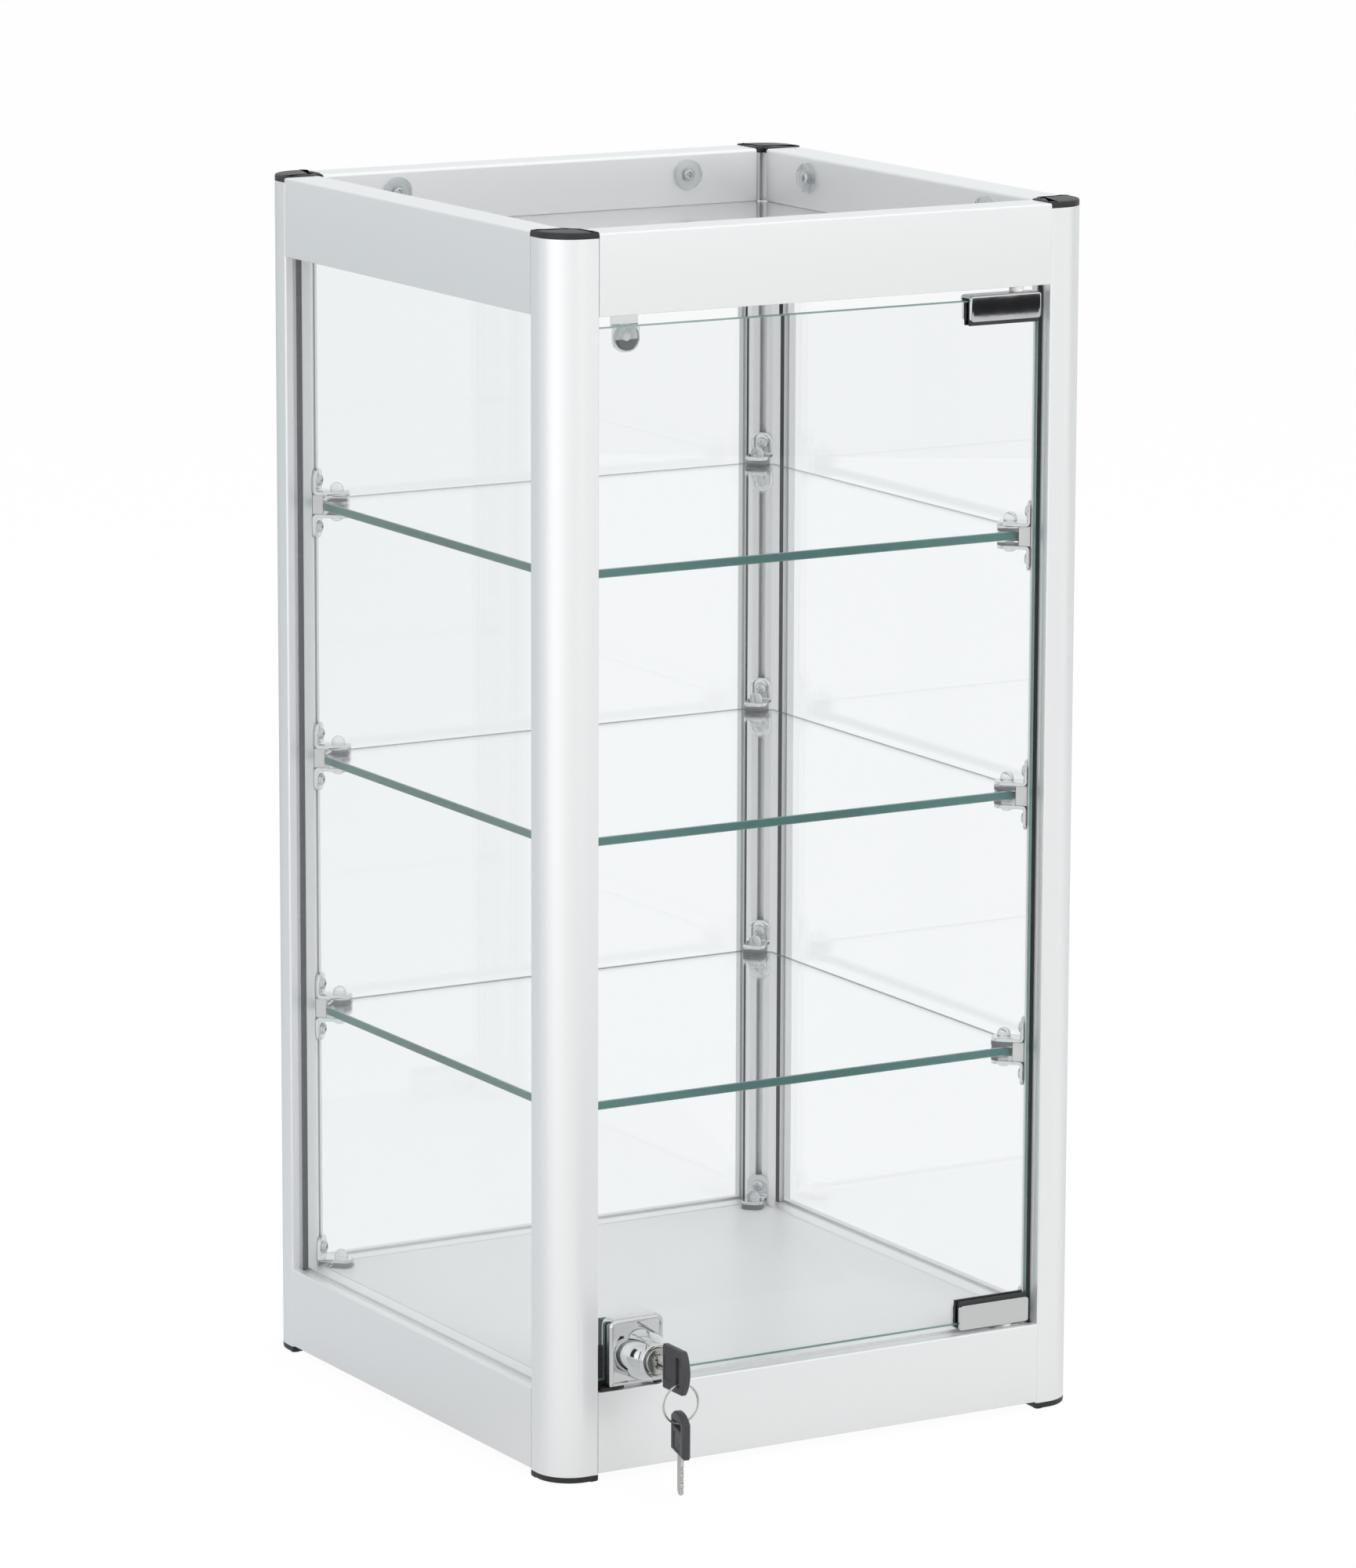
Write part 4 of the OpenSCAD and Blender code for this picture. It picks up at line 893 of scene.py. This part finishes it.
shelf_glass = finish("green_edged_float", clear_pane, tint=(0.985, 0.992, 0.992, 1))
shelf_edge = finish("float_edge", painted_shade_glass_edge, deep=(0.024, 0.130, 0.112, 1),
                    pale=(0.075, 0.225, 0.200, 1))
# The chamfers' pale green is a painted highlight on the same glass as the rims.
arris_painted_highlight = finish("float_arris_painted_highlight", painted_shade_glass_edge, deep=(0.20, 0.33, 0.31, 1),
                    pale=(0.40, 0.52, 0.51, 1))
for n in (1, 2, 3):
    low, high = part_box(f"shelf_{n}_glass")
    x, y0, y1 = high.x / MM, (low.y - middle_y) / MM, (high.y - middle_y) / MM
    reach = (face_away - clamp_clear) * math.sqrt(2)
    fore, aft = x - y0 - reach, x + y1 - reach
    corners = [(-x + fore, y0), (x - fore, y0), (x, y0 + fore), (x, y1 - aft),
               (x - aft, y1), (-x + aft, y1), (-x, y1 - aft), (-x, y0 + fore)]
    made = plate(f"shelf_plate_{n}", [(a, b + middle) for a, b in corners],
                 low.z / MM, high.z / MM, 0.45, shelf_glass)
    edged(made, 2, shelf_edge)
    dress(made, f"shelf_{n}", "shelf_glass", f"shelf_{n}_glass")

# Door: one pane of 5 mm glass, held at the right in two chrome channels lined with black.
# A pin in each channel turns in a white bush in the rail's groove.

door_low, door_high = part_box("door_glass")
channel_half, channel_high, wall, end_round = 5.8, 15.2, 1.8, 2.6

door = plate("door_pane", [(door_low.x / MM, door_low.z / MM), (door_high.x / MM, door_low.z / MM),
                           (door_high.x / MM, door_high.z / MM), (door_low.x / MM, door_high.z / MM)],
             door_low.y / MM, door_high.y / MM, 0.4, float_glass,
             upright=lambda p, y: (p.x, y, p.y))
# The door's rim tones are painted lighter than the shelves' rims of the same glass: painted light.
door_edge_painted_lighter = finish("door_edge_painted_lighter", painted_shade_glass_edge, deep=(0.10, 0.25, 0.225, 1),
                   pale=(0.24, 0.43, 0.40, 1))
edged(door, 1, door_edge_painted_lighter)
dress(door, "door", "clear_glass", "door_glass")

channel_outline = rounded([
    (-channel_half, 0, 1.2), (channel_half, 0, 1.2), (channel_half, channel_high, 0.5),
    (channel_half - wall, channel_high, 0.4), (channel_half - wall, wall, 0.5),
    (wall - channel_half, wall, 0.5), (wall - channel_half, channel_high, 0.4),
    (-channel_half, channel_high, 0.5)])
channel_end = [(0, 0.3, 1.7), (0.2, 0.05, 1.5)]
for far in (0.5, 0.9, 1.4, 2, end_round):
    lift = end_round - math.sqrt(end_round ** 2 - (end_round - far) ** 2)
    channel_end.append((far, 0, round(lift, 2)))
for name in ("hinge_clamp_bottom", "hinge_clamp_top"):
    low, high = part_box(name)
    turn, start = (-1, high.z / MM) if name.endswith("top") else (1, low.z / MM)
    mid = (low.y + high.y) / 2 / MM
    ends = [(low.x / MM + far, slim, lift) for far, slim, lift in channel_end]
    ends += [(high.x / MM - far, slim, lift) for far, slim, lift in reversed(channel_end)]
    loops = [[(x, mid + p.x, start + turn * min(max(p.y, lift), channel_high - lift))
              for p in inset(channel_outline, slim)] for x, slim, lift in ends]
    made = piece("chrome_" + name, stacked(loops), chrome)
    dress(made, "door", "chrome", name)
repaint("hinge_liners", black_rubber)
repaint("hinge_pins", zinc)
repaint("hinge_bushes", nylon)

# Door stop: a chrome angle under the top rail with a round clear bumper that the door shuts
# against. The screw that holds its arm to the rail is among the screws above.

stop_low, stop_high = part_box("stop_bracket")
stop_y, stop_z = stop_low.y / MM, stop_high.z / MM
stop_long, bumper_down = 22.9, 14.4
bumper_profile = [(-2.8, 0), (-2.8, 2.6), (-2.2, 3.0), (-1.8, 2.9), (-1.8, 2.0), (0, 2.0),
                  (0, 7.1), (0.3, 7.4), (1.0, 7.5), (1.9, 7.3), (2.5, 6.7), (2.7, 5.9),
                  (2.5, 4.6), (2.1, 4.2), (2.1, 3.4), (2.5, 3.0), (2.6, 2.2), (2.6, 0)]

stop_strip = angle_bracket(
    reach=stop_high.y / MM - stop_y - 0.3, leg=stop_long - stop_thick, half=8.5, arm_round=1.0,
    leg_round=7.4, thick=stop_thick, gap=0, bend=1.5)
stop = softened(piece("chrome_stop_angle", stop_strip, chrome,
                      place=lambda p: (stop_x + p.y, stop_y + p.x, stop_z - p.z)), 0.35)
dress(stop, "case", "chrome", "stop_bracket")
bumper = piece("clear_stop_bumper", lathed(bumper_profile, 48), vinyl,
               place=lambda p: (stop_x + p.y, stop_y - p.x, stop_z - bumper_down + p.z))
dress(bumper, "case", "clear_vinyl", "stop_bumper")

# Lock: a chrome plate with a polished bevel, from which a dome runs out into the barrel. The
# shank goes through the glass and a black plate, and a nut holds it. Inside, the plug turns
# the cam.

lock_x, _, lock_z = centre_of("lock_plug")
glass_front = door_low.y / MM
plate_half, plate_under, plate_over, plate_thick = 17.7, 19.3, 20.5, 10
dome_round, barrel_round, dome_long = 15.2, 10.4, 21
keyway_half, keyway_reach, keyway_out = 1.2, 4.4, 36


def out_of_door(p):
    """From along the lock's axis, across and up, to the case."""
    return (lock_x + p[1], glass_front - p[0], lock_z + p[2])


def nickel_plate(nodes):
    turned_lines = grain(nodes, 1500, 2)
    return nodes.add("ShaderNodeBsdfPrincipled", {}, {
        "Base Color": (0.62, 0.62, 0.60, 1), "Metallic": 1.0,
        "Roughness": turned_lines * 0.14 + 0.2})


def fitted(name, made, place):
    """The finished piece moved to its place in the case, under a name of its own."""
    mesh = bmesh.new()
    mesh.from_mesh(made.data)
    material = made.data.materials[0]
    discard(made)
    return piece(name, mesh, material, place=lambda p: place(p / MM))


plate_outline = rounded([
    (-plate_half, -plate_under, 1.2), (plate_half, -plate_under, 1.2),
    (plate_half, plate_over, 5), (-plate_half, plate_over, 5)], math.radians(6))
plate_levels = [(0, 0), (8.1, 0), (8.9, 0.25), (9.6, 0.9), (plate_thick, 1.8), (9.95, 2.2),
                (9.6, 2.6), (9.5, 3.0)]
plate_mesh = stepped(plate_outline, plate_levels, upright=lambda p, x: (x, p.x, p.y))
fall = dome_round - barrel_round
flare = (dome_long ** 2 + fall ** 2) / (2 * fall)
barrel_profile = [(9.4, 0), (9.4, dome_round)]
for k in range(13):
    out = dome_long * k / 12
    barrel_profile.append(
        (plate_thick + out, dome_round - flare + math.sqrt(flare ** 2 - out ** 2)))
barrel_profile += [(32.1, barrel_round), (32.6, 10.3), (33.0, 10.0), (33.25, 9.5), (33.3, 9.0),
                   (33.2, 8.5), (32.6, 8.1), (31.0, 7.9), (31.0, 0)]
shank_profile = [(-12, 0), (-12, 9.5), (0.5, 9.5), (0.5, 0)]
lock = piece("chrome_lock_case", joined(plate_mesh, lathed(barrel_profile, 96), lathed(shank_profile)),
             chrome, place=out_of_door)
dress(lock, "door", "chrome", "lock_case")

nickel = finish("nickel_plate", nickel_plate)
plug_profile = [(-15, 0), (-15, 5), (-9, 5), (-9, 7.6), (33.9, 7.6), (34.2, 7.4), (34.3, 7.0),
                (34.3, 0)]
plug = cut_out(piece("turning_plug", lathed(plug_profile, 64), nickel), "keyhole", joined(
    block(17.2, -keyway_half, -keyway_reach, keyway_out, keyway_half, keyway_reach),
    block(32.9, -2.3, 0.6, keyway_out, 2.3, 2.0), block(32.9, -2.3, -3.2, keyway_out, 0.5, -1.8)))
dress(fitted("lock_plug_turned", plug, out_of_door), "lock_cylinder", "nickel", "lock_plug")
repaint("lock_back_plate", black_plastic)
for name in ("lock_nut", "lock_cam", "cam_screw"):
    repaint(name, zinc)

# Keys: pressed nickel-plated blades in heads of black grained plastic, each with a bare
# recessed panel on both faces and a slot for the ring. One key is in the lock, the spare
# hangs from it on a split ring.

_, ring_y, ring_z = centre_of("key_ring")
ring_round, wire_tall, wire_wide, coils_apart, wire_sides = 11.35, 0.6, 0.28, 0.58, 12
turn_steps, overlap, climb_start, climb_steps = 72, 13, 36, 84
head_wide, head_long, head_thick, head_chamfer, bulge = 25.8, 20.8, 4.8, 1.0, 4.2
arc_radius = (head_wide ** 2 / 4 + bulge ** 2) / (2 * bulge)
arc_turn = math.asin(head_wide / 2 / arc_radius)
slot_near, slot_far, slot_half = 15.3, 19.3, 8.7
panel_near, panel_far, panel_half, panel_floor, past_face = 2.4, 12.6, 6.6, 2.0, 4
head_rear = -(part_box("key_head")[1].y / MM - glass_front)
spare_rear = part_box("key_ring")[0].z / MM + 3 * wire_tall - slot_far
spare_turn = math.radians(15)


def rounded_block(x0, x1, half, z0, z1):
    """A block from x0 to x1 with its four upright edges rounded by a millimetre."""
    outline = rounded([(x0, -half, 1), (x1, -half, 1), (x1, half, 1), (x0, half, 1)])
    return stacked([[(p.x, p.y, z) for p in outline] for z in (z0, z1)])


def key_head(name, place):
    """The moulded head from its straight rear edge to its bulging front edge."""
    centre = head_long + bulge - arc_radius
    arc = [(centre + arc_radius * math.cos(t), arc_radius * math.sin(t))
           for t in [arc_turn * (1 - k / 12) for k in range(25)]]
    outline = [Vector(p) for p in [(0, head_wide / 2)] + arc + [(0, -head_wide / 2)]][::-1]
    half = head_thick / 2
    levels = [(-half, head_chamfer), (head_chamfer - half, 0), (half - head_chamfer, 0),
              (half, head_chamfer)]
    openings = rounded_block(slot_near, slot_far, slot_half, -past_face, past_face)
    for side in (-1, 1):
        low, high = sorted((side * panel_floor, side * past_face))
        joined(openings, rounded_block(panel_near, panel_far, panel_half, low, high),
               block(-1, -1.6, low - 0.1 * side, 1.2, 1.6, high))
    head = cut_out(piece(name, stepped(outline, levels), key_black, crease=25), "openings", openings)
    return fitted(name, softened(head, 0.22, angle=50), place)


def key_blade(name, place):
    """The blade as pressed sheet: cuts along one edge, a milled groove, a pointed tip."""
    outline = [(0, 4), (-22, 4), (-24, 1), (-24, -1), (-22, -4)]
    for k in range(5):
        x = -20.6 + 3 * k
        outline += [(x, -4), (x + 1.1, -2.9 - 0.35 * (k % 2)), (x + 2.2, -4)]
    outline += [(0, -4), (0, -3.5), (10, -3.5), (10, 3.5), (0, 3.5)]
    sheet = stacked([[(x, y, z) for x, y in outline] for z in (-0.9, 0.9)])
    blade = cut_out(softened(piece(name, sheet, nickel), 0.15, 1), "groove", joined(
        block(-25, 0.5, 0.45, -0.5, 1.9, 2), block(-25, -1.4, -2, -0.5, 0, -0.45)))
    return fitted(name, blade, place)


def in_lock(p):
    """From along the key, across and through it, to the lock, the teeth upwards."""
    return (lock_x - p[2], glass_front - head_rear - p[0], lock_z - p[1])


def hanging(p):
    """From along the key, across and through it, to the ring, turned a little to the side."""
    along = Vector((-math.sin(spare_turn), -math.cos(spare_turn), 0))
    face = Vector((math.cos(spare_turn), -math.sin(spare_turn), 0))
    return Vector((lock_x, ring_y, spare_rear + p[0])) - along * p[1] + face * p[2]


key_black = finish("black_key_plastic", moulded_black, colour=(0.04, 0.04, 0.043, 1),
                   fineness=1400, rough=0.5)
ring_loops = []
for k in range(2 * turn_steps + overlap):
    angle = 2 * math.pi * k / turn_steps
    outward = Vector((math.cos(angle), 0, math.sin(angle)))
    climb = min(1, max(0, (k - climb_start) / climb_steps)) - 0.5
    wire = outward * ring_round + Vector((0, coils_apart * climb, 0))
    ring_loops.append([
        wire + outward * wire_tall * math.cos(t) + Vector((0, wire_wide, 0)) * math.sin(t)
        for t in [2 * math.pi * j / wire_sides for j in range(wire_sides)]])
ring = piece("split_key_ring", stacked(ring_loops), nickel,
             place=lambda p: (lock_x + p.x, ring_y + p.y, ring_z + p.z))
dress(ring, "key_ring", "nickel", "key_ring")
for body, place_key, label in [("key", in_lock, ""), ("spare_key", hanging, "spare_")]:
    head = key_head("moulded_" + label + "key_head", place_key)
    dress(head, body, "key_plastic", label + "key_head")
    blade = key_blade("pressed_" + label + "key_blade", place_key)
    dress(blade, body, "nickel", label + "key_blade")
